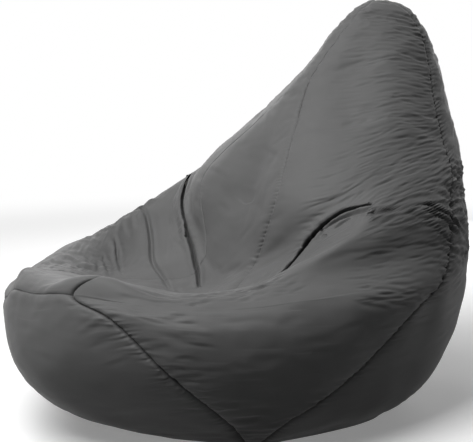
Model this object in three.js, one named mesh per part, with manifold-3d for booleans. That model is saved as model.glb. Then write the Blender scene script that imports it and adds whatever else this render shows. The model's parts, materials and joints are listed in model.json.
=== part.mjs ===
// A high-back bean bag chair: six fabric panels and a base sewn into a teardrop bag with a
// seat pressed into its front, a zip down the back, a loose inner liner and the bead filling.
// Millimetres, +Z up. The sitter faces -Y, and +X is the sitter's left. The origin is on the
// floor, under the middle of the bag.
import * as THREE from "three";
import { mergeVertices } from "three/addons/utils/BufferGeometryUtils.js";
import Module from "manifold-3d";

const wasm = await Module();
wasm.setup();

// ---- Driving dimensions ----

const FABRIC = 0.8; // thickness of the cover's cloth
const SEAM_GAP = 0.4; // air between two panels along the seam that joins them
const LINER_DEPTH = 5.0; // the liner's outer face, below the cover's outer face
const LINER_CLOTH = 0.6;
const FILL_DEPTH = 8.5; // the beads' outer face, below the cover's outer face
const STRIP_THICKNESS = 1.2; // each half of the liner's hook-and-loop closure
const STRIP_INSET = 0.6; // from the edge of the liner's mouth to the closure's strips
const BASE_INSET = 1.2; // from the side panels' lower edge to the base panel's edge
const APEX_STOP = 0.93; // how far up the last stretch of each line the panels reach

// The back's middle line runs on one circle where the zip lies.
const BACK_RADIUS = 400;
const BACK_CENTRE = { y: 178, z: 375 };
const ZIP_TOP_ANGLE = 10; // degrees above the circle's centre
const ZIP_BOTTOM_ANGLE = -42;
const SLOT = { halfWidth: 6, reach: 20, spare: 2 }; // the gap in the rear panels along the zip
const TAPE_WIDTH = 16;
const TAPE_THICKNESS = 0.8;
const TAPE_DEPTH = 2.8; // the tape's outer face, below the cover's outer face
const TAPE_TAIL = 12; // length of tape past each stop
const ZIP_SPLIT = 0.2; // half the gap between the zip's two halves
const COIL_WIDTH = 3;
const COIL_HEIGHT = 2;
const CLEARANCE = 0.3;
const STOP = { length: 3, overlap: 0.6, rise: 0.5 }; // past the coils' sides and above them
const SLIDER = { length: 14, width: 10.4, tailWidth: 8.2, plate: 2, bevel: 2, play: 0.5 };
const CROWN = { length: 10, ridge: 6, height: 2.2, width: 3, weld: 0.2 };
const CROWN_EYE = { sill: 5.2, head: 4, bottom: 0.6, top: 1.4 };

// ---- The bag's lines, from the floor to the crown ----

// A point of the back's middle line at a height inside the circle's reach.
function onBackCircle(z) {
  const rise = z - BACK_CENTRE.z;
  return [0, BACK_CENTRE.y + Math.sqrt(BACK_RADIUS ** 2 - rise ** 2), z];
}

const APEX = [0, 400, 874];

// Seven lines run up one half of the bag. Their points share fifteen levels: the base edge,
// low belly, belly, high belly, front cross seam, rim, inside of the rim, seat, seat corner,
// lower, middle, upper and high backrest, crown and apex.
const FRONT_CENTRE = [
  [0, -290, 0], [0, -430, 58], [0, -526, 153], [0, -535, 252], [0, -510, 331],
  [0, -478, 353], [0, -425, 350], [0, -254, 275], [0, -62, 285], [0, 18, 440],
  [0, 92, 590], [0, 193, 713], [0, 305, 825], [0, 354, 862], APEX,
];
const FRONT_SEAM = [
  [240, -165, 0], [292, -262, 82], [284, -392, 196], [204, -464, 298], [112, -492, 336],
  [134, -454, 368], [154, -382, 349], [150, -214, 288], [96, -43, 325], [126, 3, 475],
  [64, 108, 610], [20, 193, 713], [12, 306, 827], [8, 356, 862], APEX,
];
const ARM_INSIDE = [
  [243, -160, 0], [316, -240, 85], [355, -303, 190], [327, -349, 290], [296, -345, 314],
  [280, -320, 322], [243, -264, 320], [222, -122, 312], [203, -9, 365], [213, 46, 485],
  [139, 173, 620], [70, 254, 728], [38, 336, 833], [22, 371, 864], APEX,
];
const ARM_OUTSIDE = [
  [246, -155, 0], [340, -207, 86], [413, -157, 184], [430, -105, 280], [412, -76, 328],
  [357, -74, 360], [345, -26, 402], [332, 36, 431], [309, 100, 470], [263, 173, 536],
  [190, 268, 642], [124, 333, 744], [70, 389, 829], [38, 394, 864], APEX,
];
const REAR_SEAM = [
  [250, -149, 0], [366, -155, 80], [411, -34, 159], [409, 126, 261], [382, 238, 307],
  [350, 297, 370], [322, 328, 440], [288, 361, 490], [259, 385, 525], [226, 400, 565],
  [184, 415, 632], [125, 446, 729], [85, 453, 812], [48, 431, 859], APEX,
];
const REAR_QUARTER = [
  [255, 185, 0], [317, 240, 62], [311, 345, 160], [260, 438, 250], [225, 476, 330],
  [200, 492, 395], [180, 498, 460], [165, 504, 515], [151, 514, 560], [130, 517, 606],
  [105, 518, 672], [73, 516, 754], [45, 490, 825], [26, 451, 861], APEX,
];
const BACK_CENTRE_LINE = [
  [0, 310, 0], onBackCircle(60), onBackCircle(160), onBackCircle(250), onBackCircle(330),
  onBackCircle(395), onBackCircle(445), [0, 568, 505], [0, 573, 560], [0, 571, 611],
  [0, 564, 672], [0, 543, 749], [0, 500, 823], [0, 456, 861], APEX,
];
const LINES = [
  FRONT_CENTRE, FRONT_SEAM, ARM_INSIDE, ARM_OUTSIDE, REAR_SEAM, REAR_QUARTER, BACK_CENTRE_LINE,
];
const LEVEL = { frontSeam: 4, mouthBottom: 7, mouthTop: 8, apex: 14 };

// Where the grid's columns stand within each stretch between two lines, as shares of it. The
// last one keeps the cloth flat beside the zip.
const evenly = (n) => Array.from({ length: n }, (_, k) => k / n);
const SHARES_ACROSS = [evenly(3), evenly(1), evenly(3), evenly(3), evenly(2), [0, 0.5, 0.9]];

// Facets up each stretch between two levels, more where the back bends beside the zip.
const FACETS_UP = [2, 4, 3, 2, 2, 2, 1, 2, 2, 2, 2, 2, 1, 1];

const columnOfLine = SHARES_ACROSS.reduce((at, s) => [...at, at[at.length - 1] + s.length], [0]);
const COLUMN = {
  frontSeam: columnOfLine[LINES.indexOf(FRONT_SEAM)],
  rearSeam: columnOfLine[LINES.indexOf(REAR_SEAM)],
  back: columnOfLine[LINES.indexOf(BACK_CENTRE_LINE)],
};
const COLUMNS = 2 * COLUMN.back;
const MOUTH_HALF_WIDTH = 2; // in columns, each side of the back's middle
const rowOfLevel = (level) => FACETS_UP.slice(0, level).reduce((sum, n) => sum + n, 0);
const ROWS = rowOfLevel(LEVEL.apex);

// ---- The bag's surface as a grid ----

const vec = (p) => new THREE.Vector3(...p);
const lineCurves = LINES.map((points) => {
  return new THREE.CatmullRomCurve3(points.map(vec), false, "centripetal");
});

// One level ring: the seven lines' points at this height and their mirror images, as one loop.
function ringAt(level) {
  const half = lineCurves.map((curve) => curve.getPoint(level / LEVEL.apex));
  const mirrored = half.slice(1, -1).reverse().map((p) => new THREE.Vector3(-p.x, p.y, p.z));
  return new THREE.CatmullRomCurve3([...half, ...mirrored], true, "centripetal");
}

// The ring's points, one for each column of the grid, from the front's middle towards +X.
function ringPoints(level) {
  const ring = ringAt(level);
  const left = SHARES_ACROSS.flatMap((shares, stretch) => shares.map((s) => stretch + s));
  const stretches = 2 * SHARES_ACROSS.length;
  const right = left.slice(1).reverse().map((place) => stretches - place);
  const places = [...left, SHARES_ACROSS.length, ...right];
  return places.map((place) => ring.getPoint(place / stretches));
}

const levels = FACETS_UP.flatMap((n, level) => evenly(n).map((share) => level + share));
const grid = [...levels, LEVEL.apex - 1 + APEX_STOP].map(ringPoints);
const wrap = (column) => (column + COLUMNS) % COLUMNS;

// The outward normal at a grid point.
function normalAt(row, column) {
  const across = new THREE.Vector3().subVectors(
    grid[row][wrap(column + 1)],
    grid[row][wrap(column - 1)],
  );
  const up = new THREE.Vector3().subVectors(
    grid[Math.min(row + 1, ROWS)][wrap(column)],
    grid[Math.max(row - 1, 0)][wrap(column)],
  );
  return across.cross(up).normalize();
}
const normals = grid.map((points, row) => points.map((_, column) => normalAt(row, column)));

// The grid point, moved in from the cover's outer face.
function sunk(row, column, depth) {
  const c = wrap(column);
  return grid[row][c].clone().addScaledVector(normals[row][c], -depth);
}

// The base edge at a depth: where the sunk side wall meets the floor raised by that depth.
function baseEdge(column, depth) {
  const point = grid[0][wrap(column)];
  const n = normals[0][wrap(column)];
  const flat = Math.hypot(n.x, n.y);
  const inset = (depth * (1 + n.z)) / flat;
  return new THREE.Vector3(
    point.x - (n.x / flat) * inset,
    point.y - (n.y / flat) * inset,
    depth,
  );
}

// ---- Solids ----

// Collects points and triangles, and gives them back as a geometry.
function surface() {
  const points = [];
  const triangles = [];
  return {
    add: (p) => points.push(p) - 1,
    quad: (a, b, c, d) => triangles.push(a, b, c, a, c, d),
    triangle: (a, b, c) => triangles.push(a, b, c),
    geometry: () => {
      const made = new THREE.BufferGeometry().setFromPoints(points);
      return made.setIndex(triangles);
    },
  };
}

// A sheet of cloth between two columns and two rows, from one depth to another. Its edges
// stand back by half the seam gap.
function sheet({ from, to, bottom, top, outer, inner, gap = SEAM_GAP / 2 }) {
  const made = surface();
  const standBack = (row, column, depth) => {
    const p = sunk(row, column, depth);
    const pull = new THREE.Vector3();
    const towards = (r, c) => pull.add(sunk(r, c, depth).sub(p).normalize().multiplyScalar(gap));
    if (column === from) towards(row, column + 1);
    if (column === to) towards(row, column - 1);
    if (row === bottom && bottom > 0) towards(row + 1, column);
    if (row === top && top < ROWS) towards(row - 1, column);
    return p.add(pull);
  };
  const layer = (depth) => {
    const rows = [];
    for (let row = bottom; row <= top; row++) {
      const line = [];
      for (let column = from; column <= to; column++) {
        line.push(made.add(standBack(row, column, depth)));
      }
      rows.push(line);
    }
    return rows;
  };
  const out = layer(outer);
  const back = layer(inner);
  const high = top - bottom;
  const wide = to - from;
  for (let r = 0; r < high; r++) {
    for (let c = 0; c < wide; c++) {
      made.quad(out[r][c], out[r][c + 1], out[r + 1][c + 1], out[r + 1][c]);
      made.quad(back[r][c], back[r + 1][c], back[r + 1][c + 1], back[r][c + 1]);
    }
    made.quad(out[r][0], out[r + 1][0], back[r + 1][0], back[r][0]);
    made.quad(out[r + 1][wide], out[r][wide], back[r][wide], back[r + 1][wide]);
  }
  for (let c = 0; c < wide; c++) {
    made.quad(out[0][c + 1], out[0][c], back[0][c], back[0][c + 1]);
    made.quad(out[high][c], out[high][c + 1], back[high][c + 1], back[high][c]);
  }
  return made.geometry();
}

// Adds the whole bag's surface at a depth to a geometry, with a flat bottom and a closed
// crown. Quads inside the mouth are left out. Returns the grid of point numbers.
function addSkin(made, depth, mouth, inward) {
  const quad = (a, b, c, d) => (inward ? made.quad(a, d, c, b) : made.quad(a, b, c, d));
  const triangle = (a, b, c) => (inward ? made.triangle(a, c, b) : made.triangle(a, b, c));
  const rows = grid.map((points, row) => {
    return points.map((_, column) => {
      return made.add(row === 0 ? baseEdge(column, depth) : sunk(row, column, depth));
    });
  });
  const floor = made.add(new THREE.Vector3(0, 0, depth));
  const crown = made.add(vec(APEX).sub(new THREE.Vector3(0, 0, depth)));
  for (let c = 0; c < COLUMNS; c++) {
    const next = wrap(c + 1);
    for (let r = 0; r < ROWS; r++) {
      if (mouth && isInMouth(mouth, r, c)) continue;
      quad(rows[r][c], rows[r][next], rows[r + 1][next], rows[r + 1][c]);
    }
    triangle(floor, rows[0][next], rows[0][c]);
    triangle(crown, rows[ROWS][c], rows[ROWS][next]);
  }
  return rows;
}

function isInMouth(mouth, row, column) {
  const across = column >= mouth.from && column < mouth.to;
  return across && row >= mouth.bottom && row < mouth.top;
}

// The bead filling: one closed solid.
function filling() {
  const made = surface();
  addSkin(made, FILL_DEPTH, null, false);
  return made.geometry();
}

// The liner: a bag of thin cloth with a mouth, whose edges close the cloth's thickness.
function liner(mouth) {
  const made = surface();
  const out = addSkin(made, LINER_DEPTH, mouth, false);
  const back = addSkin(made, LINER_DEPTH + LINER_CLOTH, mouth, true);
  for (let c = mouth.from; c < mouth.to; c++) {
    const { bottom, top } = mouth;
    made.quad(out[bottom][c], out[bottom][c + 1], back[bottom][c + 1], back[bottom][c]);
    made.quad(out[top][c + 1], out[top][c], back[top][c], back[top][c + 1]);
  }
  for (let r = mouth.bottom; r < mouth.top; r++) {
    const { from, to } = mouth;
    made.quad(out[r + 1][from], out[r][from], back[r][from], back[r + 1][from]);
    made.quad(out[r][to], out[r + 1][to], back[r + 1][to], back[r][to]);
  }
  return made.geometry();
}

// The base panel: a flat sheet on the floor, just inside the side panels' lower edges.
function basePanel() {
  const made = surface();
  const rim = (z) => {
    return grid[0].map((point, column) => {
      const n = normals[0][column];
      const out = new THREE.Vector3(n.x, n.y, 0).normalize();
      return made.add(new THREE.Vector3(point.x, point.y, z).addScaledVector(out, -BASE_INSET));
    });
  };
  const low = rim(0);
  const high = rim(FABRIC);
  const lowMiddle = made.add(new THREE.Vector3(0, 0, 0));
  const highMiddle = made.add(new THREE.Vector3(0, 0, FABRIC));
  for (let c = 0; c < COLUMNS; c++) {
    const next = wrap(c + 1);
    made.quad(low[c], low[next], high[next], high[c]);
    made.triangle(lowMiddle, low[next], low[c]);
    made.triangle(highMiddle, high[c], high[next]);
  }
  return made.geometry();
}

// A bar bent along the back's circle: its section from x0 to x1 and from one distance above
// the cover's outer face to another, between two angles.
function arcBar({ x0, x1, low, high, from, to }) {
  const rad = THREE.MathUtils.degToRad;
  const side = new THREE.Shape();
  side.absarc(0, 0, BACK_RADIUS + high, rad(from), rad(to), false);
  side.absarc(0, 0, BACK_RADIUS + low, rad(to), rad(from), true);
  side.closePath();
  const curveSegments = Math.max(2, Math.ceil((to - from) / 2));
  const depth = x1 - x0;
  const bar = new THREE.ExtrudeGeometry(side, { depth, curveSegments, bevelEnabled: false });
  // The outline's x and y become the row's y and z, and its depth becomes x.
  const turn = new THREE.Matrix4().makeBasis(
    new THREE.Vector3(0, 1, 0),
    new THREE.Vector3(0, 0, 1),
    new THREE.Vector3(1, 0, 0),
  );
  return bar.applyMatrix4(turn).translate(x0, BACK_CENTRE.y, BACK_CENTRE.z);
}

const pointsOf = (pairs) => pairs.map(([x, y]) => new THREE.Vector2(x, y));
const outline = (pairs) => new THREE.Shape(pointsOf(pairs));

// ---- Cutting and joining ----

function toManifold(geometry) {
  const bare = geometry.clone();
  bare.deleteAttribute("normal");
  bare.deleteAttribute("uv");
  const merged = mergeVertices(bare, 1e-4);
  const solid = new wasm.Mesh({
    numProp: 3,
    vertProperties: new Float32Array(merged.attributes.position.array),
    triVerts: new Uint32Array(merged.index.array),
  });
  return new wasm.Manifold(solid);
}

function toGeometry(solid) {
  const mesh = solid.getMesh();
  const made = new THREE.BufferGeometry();
  made.setAttribute("position", new THREE.BufferAttribute(mesh.vertProperties, 3));
  made.setIndex(new THREE.BufferAttribute(mesh.triVerts, 1));
  return made;
}

const cut = (geometry, tool) => toGeometry(toManifold(geometry).subtract(toManifold(tool)));
const join = (...geometries) => {
  return toGeometry(geometries.map(toManifold).reduce((whole, piece) => whole.add(piece)));
};

// ---- Zip ----

const angleOf = (length) => THREE.MathUtils.radToDeg(length / BACK_RADIUS);

function zipSlot() {
  const spare = angleOf(STOP.length + SLOT.spare);
  return arcBar({
    x0: -SLOT.halfWidth,
    x1: SLOT.halfWidth,
    low: -SLOT.reach,
    high: SLOT.reach,
    from: ZIP_BOTTOM_ANGLE - spare,
    to: ZIP_TOP_ANGLE + spare,
  });
}

// One half of the zip's tape, on the +X side for side 1 and the -X side for side -1.
function zipTape(side) {
  const [near, far] = [ZIP_SPLIT, TAPE_WIDTH];
  return arcBar({
    x0: side > 0 ? near : -far,
    x1: side > 0 ? far : -near,
    low: -TAPE_DEPTH - TAPE_THICKNESS,
    high: -TAPE_DEPTH,
    from: ZIP_BOTTOM_ANGLE - angleOf(TAPE_TAIL),
    to: ZIP_TOP_ANGLE + angleOf(TAPE_TAIL),
  });
}

const COIL_LOW = -TAPE_DEPTH + CLEARANCE;
const COIL_TOP = COIL_LOW + COIL_HEIGHT;

function zipCoil(side) {
  const [near, far] = [ZIP_SPLIT, ZIP_SPLIT + COIL_WIDTH];
  return arcBar({
    x0: side > 0 ? near : -far,
    x1: side > 0 ? far : -near,
    low: COIL_LOW,
    high: COIL_TOP,
    from: ZIP_BOTTOM_ANGLE,
    to: ZIP_TOP_ANGLE,
  });
}

// A stop clamped across both coils, just past one end of them.
function zipStop(end) {
  const gap = angleOf(CLEARANCE);
  const length = angleOf(STOP.length);
  const from = end > 0 ? ZIP_TOP_ANGLE + gap : ZIP_BOTTOM_ANGLE - gap - length;
  return arcBar({
    x0: -COIL_WIDTH - STOP.overlap,
    x1: COIL_WIDTH + STOP.overlap,
    low: COIL_LOW,
    high: COIL_TOP + STOP.rise,
    from,
    to: from + length,
  });
}

// The slider's plan. Its y runs down the travel, so the narrow tail is at its far end.
function sliderPlan() {
  const { length, width, tailWidth, bevel } = SLIDER;
  const right = [
    [width / 2 - bevel, -length / 2],
    [width / 2, bevel - length / 2],
    [width / 2, 0],
    [tailWidth / 2, length / 2],
  ];
  const left = right.map(([x, y]) => [-x, y]).reverse();
  return outline([...right, ...left]);
}

// The crown's side view, with the eye that a pull tab would hang in.
function crownSide() {
  const { length, ridge, height } = CROWN;
  const { sill, head, bottom, top } = CROWN_EYE;
  const side = outline([
    [-length / 2, 0], [length / 2, 0], [ridge / 2, height], [-ridge / 2, height],
  ]);
  const eye = [[-sill / 2, bottom], [-head / 2, top], [head / 2, top], [sill / 2, bottom]];
  side.holes.push(new THREE.Path(pointsOf(eye)));
  return side;
}

// The slider, lying along +Z with +Y away from the bag: a plate that narrows to its tail, a
// flange down each side of the coils, and a low crown with no pull tab.
function zipSlider() {
  const underside = COIL_TOP + CLEARANCE;
  const thick = underside + SLIDER.plate - COIL_LOW;
  const body = new THREE.ExtrudeGeometry(sliderPlan(), { depth: thick, bevelEnabled: false });
  body.rotateX(-Math.PI / 2).translate(0, COIL_LOW, 0);
  const channelWidth = 2 * COIL_WIDTH + 2 * SLIDER.play;
  const channel = new THREE.BoxGeometry(channelWidth, thick, 2 * SLIDER.length);
  channel.translate(0, underside - thick / 2, 0);
  const { width, weld } = CROWN;
  const crown = new THREE.ExtrudeGeometry(crownSide(), { depth: width, bevelEnabled: false });
  // The crown's side view stands in the plane of the travel.
  crown.translate(0, 0, -width / 2).rotateY(-Math.PI / 2);
  crown.translate(0, underside + SLIDER.plate - weld, 0);
  return join(cut(body, channel), crown);
}

// ---- Materials ----

const finish = (color, roughness, metalness = 0) => {
  return new THREE.MeshStandardMaterial({ color, roughness, metalness });
};
const coverCloth = finish(0x4a4a4b, 0.55);
const linerCloth = finish(0xe4e2dc, 0.85);
const beads = finish(0xf6f6f4, 0.9);
const zipWeb = finish(0x3a3a3b, 0.8);
const zipNylon = finish(0x2e2e30, 0.4);
const zipMetal = finish(0x3c3c3f, 0.35, 0.9);
const touchTape = finish(0xd8d6d0, 0.95);

// ---- Assembly ----

const bag = new THREE.Group();

function place(name, geometry, material, parent = bag) {
  const mesh = new THREE.Mesh(geometry, material);
  mesh.name = name;
  parent.add(mesh);
  return mesh;
}

const cover = { outer: 0, inner: FABRIC };
const fullHeight = { bottom: 0, top: ROWS };
const mirrored = (column) => COLUMNS - column;

place(
  "front_panel",
  sheet({
    from: -COLUMN.frontSeam,
    to: COLUMN.frontSeam,
    bottom: 0,
    top: rowOfLevel(LEVEL.frontSeam),
    ...cover,
  }),
  coverCloth,
);
place(
  "seat_back_panel",
  sheet({
    from: -COLUMN.frontSeam,
    to: COLUMN.frontSeam,
    bottom: rowOfLevel(LEVEL.frontSeam),
    top: ROWS,
    ...cover,
  }),
  coverCloth,
);
place(
  "side_panel_left",
  sheet({ from: COLUMN.frontSeam, to: COLUMN.rearSeam, ...fullHeight, ...cover }),
  coverCloth,
);
place(
  "side_panel_right",
  sheet({
    from: mirrored(COLUMN.rearSeam),
    to: mirrored(COLUMN.frontSeam),
    ...fullHeight,
    ...cover,
  }),
  coverCloth,
);
place(
  "rear_panel_left",
  cut(
    sheet({ from: COLUMN.rearSeam, to: COLUMN.back, ...fullHeight, ...cover }),
    zipSlot(),
  ),
  coverCloth,
);
place(
  "rear_panel_right",
  cut(
    sheet({ from: COLUMN.back, to: mirrored(COLUMN.rearSeam), ...fullHeight, ...cover }),
    zipSlot(),
  ),
  coverCloth,
);
place("base_panel", basePanel(), coverCloth);

place("zip_tape_left", zipTape(1), zipWeb);
place("zip_tape_right", zipTape(-1), zipWeb);
place("zip_coil_left", zipCoil(1), zipNylon);
place("zip_coil_right", zipCoil(-1), zipNylon);
place("zip_top_stop", zipStop(1), zipMetal);
place("zip_bottom_stop", zipStop(-1), zipMetal);

// The slider parks under the top stop, where the zip is closed.
const sliderAngle = ZIP_TOP_ANGLE - angleOf(SLIDER.length / 2 + CLEARANCE);
const sliderArm = new THREE.Group();
sliderArm.position.set(0, BACK_CENTRE.y, BACK_CENTRE.z);
sliderArm.rotation.x = THREE.MathUtils.degToRad(sliderAngle);
bag.add(sliderArm);
const slider = place("zip_slider", zipSlider(), zipMetal, sliderArm);
slider.position.y = BACK_RADIUS;

// The liner's mouth crosses the back's middle above the zip, and its two strips fill it.
const mouth = {
  from: COLUMN.back - MOUTH_HALF_WIDTH,
  to: COLUMN.back + MOUTH_HALF_WIDTH,
  bottom: rowOfLevel(LEVEL.mouthBottom),
  top: rowOfLevel(LEVEL.mouthTop),
};
place("inner_liner", liner(mouth), linerCloth);
const strip = (outer) => {
  return sheet({ ...mouth, outer, inner: outer + STRIP_THICKNESS, gap: STRIP_INSET });
};
place("liner_loop_strip", strip(LINER_DEPTH), touchTape);
place("liner_hook_strip", strip(LINER_DEPTH + STRIP_THICKNESS + CLEARANCE), touchTape);
place("bean_fill", filling(), beads);

// The bag's lines are drawn about the base, so it is moved back to stand over the origin.
const depths = grid.flat().map((p) => p.y);
const front = Math.min(...depths);
const rear = Math.max(...depths);
bag.position.y = -(front + rear) / 2;

const chair = new THREE.Group();
chair.add(bag);

export default chair;
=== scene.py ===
"""A high-back bean bag chair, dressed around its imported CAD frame.

The cover is one fine grid of cloth laid over the bag's seven lines. Folds, seams and puckers are
pressed into that grid, and then it is parted into the panels that are sewn together. The zip, the
liner and the bead filling are built under it.
"""

from __future__ import annotations

import json
import logging
import math
from dataclasses import dataclass, field
from enum import Enum, IntEnum

import bpy
import numpy as np
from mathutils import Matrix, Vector

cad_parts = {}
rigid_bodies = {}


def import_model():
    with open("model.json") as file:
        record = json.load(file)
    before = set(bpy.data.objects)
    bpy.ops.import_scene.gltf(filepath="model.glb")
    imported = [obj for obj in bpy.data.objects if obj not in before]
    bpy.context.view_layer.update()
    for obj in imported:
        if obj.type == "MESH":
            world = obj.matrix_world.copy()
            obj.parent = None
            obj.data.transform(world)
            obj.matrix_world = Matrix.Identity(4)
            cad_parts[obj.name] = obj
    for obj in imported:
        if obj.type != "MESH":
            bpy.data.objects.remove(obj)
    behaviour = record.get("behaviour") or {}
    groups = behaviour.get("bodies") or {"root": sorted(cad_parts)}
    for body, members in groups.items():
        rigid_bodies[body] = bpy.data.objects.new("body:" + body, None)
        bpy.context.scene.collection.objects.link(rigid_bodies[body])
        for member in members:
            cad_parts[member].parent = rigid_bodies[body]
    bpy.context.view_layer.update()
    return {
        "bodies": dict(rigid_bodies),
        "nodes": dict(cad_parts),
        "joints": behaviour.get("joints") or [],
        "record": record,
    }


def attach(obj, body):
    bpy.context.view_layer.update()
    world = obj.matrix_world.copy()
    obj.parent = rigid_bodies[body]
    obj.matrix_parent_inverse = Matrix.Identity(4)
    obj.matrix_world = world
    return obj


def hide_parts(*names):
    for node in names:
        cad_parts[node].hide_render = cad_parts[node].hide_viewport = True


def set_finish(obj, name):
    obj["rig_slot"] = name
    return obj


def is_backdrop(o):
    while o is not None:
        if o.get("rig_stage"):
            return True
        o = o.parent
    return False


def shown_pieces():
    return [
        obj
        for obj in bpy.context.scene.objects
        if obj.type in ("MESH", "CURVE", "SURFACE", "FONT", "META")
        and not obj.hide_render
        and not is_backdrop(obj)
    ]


LOG = logging.getLogger("bean_bag")
MM = 0.001

Points = np.ndarray


class Line(IntEnum):
    """The seven lines up one half of the bag, by how far round from the front they stand."""

    FRONT_CENTRE = 0
    FRONT_SEAM = 1
    ARM_INSIDE = 2
    ARM_OUTSIDE = 3
    REAR_SEAM = 4
    REAR_QUARTER = 5
    BACK_CENTRE = 6


class Level(IntEnum):
    """Some of the levels that the lines' points share, counted from 0 at the floor."""

    FRONT_CROSS_SEAM = 4
    MOUTH_BOTTOM = 7
    MOUTH_TOP = 8
    APEX = 14


class Side(IntEnum):
    """The sitter's left is +X."""

    LEFT = 1
    RIGHT = -1


AROUND = 2 * Line.BACK_CENTRE  # stretches in the whole loop round the bag
SEAM_LINES = (Line.FRONT_SEAM, Line.REAR_SEAM, Line.BACK_CENTRE)
TOP_LEVEL = 13.93  # where the panels end, just short of the crown's point
SEED = 7  # of every random draw


# ---- Meshes ----


def new_object(name: str, points: Points, faces: list[tuple[int, ...]] | Points) -> bpy.types.Object:
    """Makes a smooth-shaded mesh object.

    Args:
        name: the object's name.
        points: its vertices in metres.
        faces: the vertex numbers of each face.

    Returns:
        The object, linked to the scene.
    """
    mesh = bpy.data.meshes.new(name)
    faces = faces.tolist() if isinstance(faces, np.ndarray) else faces
    mesh.from_pydata(np.asarray(points, float).tolist(), [], faces)
    mesh.validate()
    mesh.polygons.foreach_set("use_smooth", [True] * len(mesh.polygons))
    made = bpy.data.objects.new(name, mesh)
    bpy.context.scene.collection.objects.link(made)
    return made


def grid_faces(rows: int, columns: int, loop: bool = False) -> Points:
    """The quads of a grid of points numbered row by row.

    Args:
        rows: how many rows of points there are.
        columns: how many points a row has.
        loop: whether each row closes on itself.

    Returns:
        The faces, shape (n, 4), facing out of the bag.
    """
    numbers = np.arange(rows * columns).reshape(rows, columns)
    right = np.roll(numbers, -1, axis=1) if loop else numbers[:, 1:]
    left = numbers if loop else numbers[:, :-1]
    return np.stack([left[:-1], right[:-1], right[1:], left[1:]], axis=-1).reshape(-1, 4)


# ---- The bag's shape ----


@dataclass(frozen=True)
class ZipArc:
    """The circle that the back's middle line follows where the zip lies, in millimetres."""

    radius: float = 400.0
    centre_y: float = 178.0
    centre_z: float = 375.0
    top_degrees: float = 10.0
    bottom_degrees: float = -42.0

    def point(self, height: float) -> tuple[float, float, float]:
        """A point of the back's middle line.

        Args:
            height: the point's height above the floor.

        Returns:
            The point's x, y and z.
        """
        rise = height - self.centre_z
        return (0.0, self.centre_y + math.sqrt(self.radius**2 - rise**2), height)

    def ends(self, past: float) -> tuple[float, float]:
        """The heights above the floor at which a strip ends that runs past both of the zip's ends."""
        low, high = (
            self.centre_z + self.radius * math.sin(math.radians(degrees))
            for degrees in (self.bottom_degrees, self.top_degrees)
        )
        return low - past, high + past


ZIP_ARC = ZipArc()
APEX_POINT = (0, 400, 874)

# The lines of the sewing pattern in millimetres, each with one point for each level.
PATTERN = {
    Line.FRONT_CENTRE: (
        (0, -290, 0), (0, -430, 58), (0, -526, 153), (0, -535, 252), (0, -510, 331),
        (0, -478, 353), (0, -425, 350), (0, -254, 275), (0, -62, 285), (0, 18, 440), (0, 92, 590),
        (0, 193, 713), (0, 305, 825), (0, 354, 862), APEX_POINT,
    ),
    Line.FRONT_SEAM: (
        (240, -165, 0), (292, -262, 82), (284, -392, 196), (204, -464, 298), (112, -492, 336),
        (134, -454, 368), (154, -382, 349), (150, -214, 288), (96, -43, 325), (126, 3, 475),
        (64, 108, 610), (20, 193, 713), (12, 306, 827), (8, 356, 862), APEX_POINT,
    ),
    Line.ARM_INSIDE: (
        (243, -160, 0), (316, -240, 85), (355, -303, 190), (327, -349, 290), (296, -345, 314),
        (280, -320, 322), (243, -264, 320), (222, -122, 312), (203, -9, 365), (213, 46, 485),
        (139, 173, 620), (70, 254, 728), (38, 336, 833), (22, 371, 864), APEX_POINT,
    ),
    Line.ARM_OUTSIDE: (
        (246, -155, 0), (340, -207, 86), (413, -157, 184), (430, -105, 280), (412, -76, 328),
        (357, -74, 360), (345, -26, 402), (332, 36, 431), (309, 100, 470), (263, 173, 536),
        (190, 268, 642), (124, 333, 744), (70, 389, 829), (38, 394, 864), APEX_POINT,
    ),
    Line.REAR_SEAM: (
        (250, -149, 0), (366, -155, 80), (411, -34, 159), (409, 126, 261), (382, 238, 307),
        (350, 297, 370), (322, 328, 440), (288, 361, 490), (259, 385, 525), (226, 400, 565),
        (184, 415, 632), (125, 446, 729), (85, 453, 812), (48, 431, 859), APEX_POINT,
    ),
    Line.REAR_QUARTER: (
        (255, 185, 0), (317, 240, 62), (311, 345, 160), (260, 438, 250), (225, 476, 330),
        (200, 492, 395), (180, 498, 460), (165, 504, 515), (151, 514, 560), (130, 517, 606),
        (105, 518, 672), (73, 516, 754), (45, 490, 825), (26, 451, 861), APEX_POINT,
    ),
    Line.BACK_CENTRE: (
        (0, 310, 0), ZIP_ARC.point(60), ZIP_ARC.point(160), ZIP_ARC.point(250),
        ZIP_ARC.point(330), ZIP_ARC.point(395), ZIP_ARC.point(445), (0, 568, 505), (0, 573, 560),
        (0, 571, 611), (0, 564, 672), (0, 543, 749), (0, 500, 823), (0, 456, 861), APEX_POINT,
    ),
}


def unit(vectors: Points) -> Points:
    """The same vectors with length 1."""
    return vectors / np.maximum(np.linalg.norm(vectors, axis=-1, keepdims=True), 1e-12)


def signed_place(around: Points) -> Points:
    """The same places round the bag, counted both ways from the front's middle."""
    return (around + AROUND / 2) % AROUND - AROUND / 2


def smooth_step(value: Points) -> Points:
    """A smooth rise from 0 to 1 as the value goes from 0 to 1."""
    held = np.clip(value, 0, 1)
    return held * held * (3 - 2 * held)


def with_neighbours(values: Points) -> Points:
    """Lists a grid of values with its four neighbours, where each row is a loop.

    Args:
        values: the values, shape (rows, columns).

    Returns:
        The values and their neighbours below, above and to both sides, shape (5, rows, columns).
    """
    padded = np.pad(values, ((1, 1), (0, 0)), mode="edge")
    sides = [np.roll(values, turn, axis=1) for turn in (-1, 1)]
    return np.stack([values, padded[:-2], padded[2:], *sides])


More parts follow.
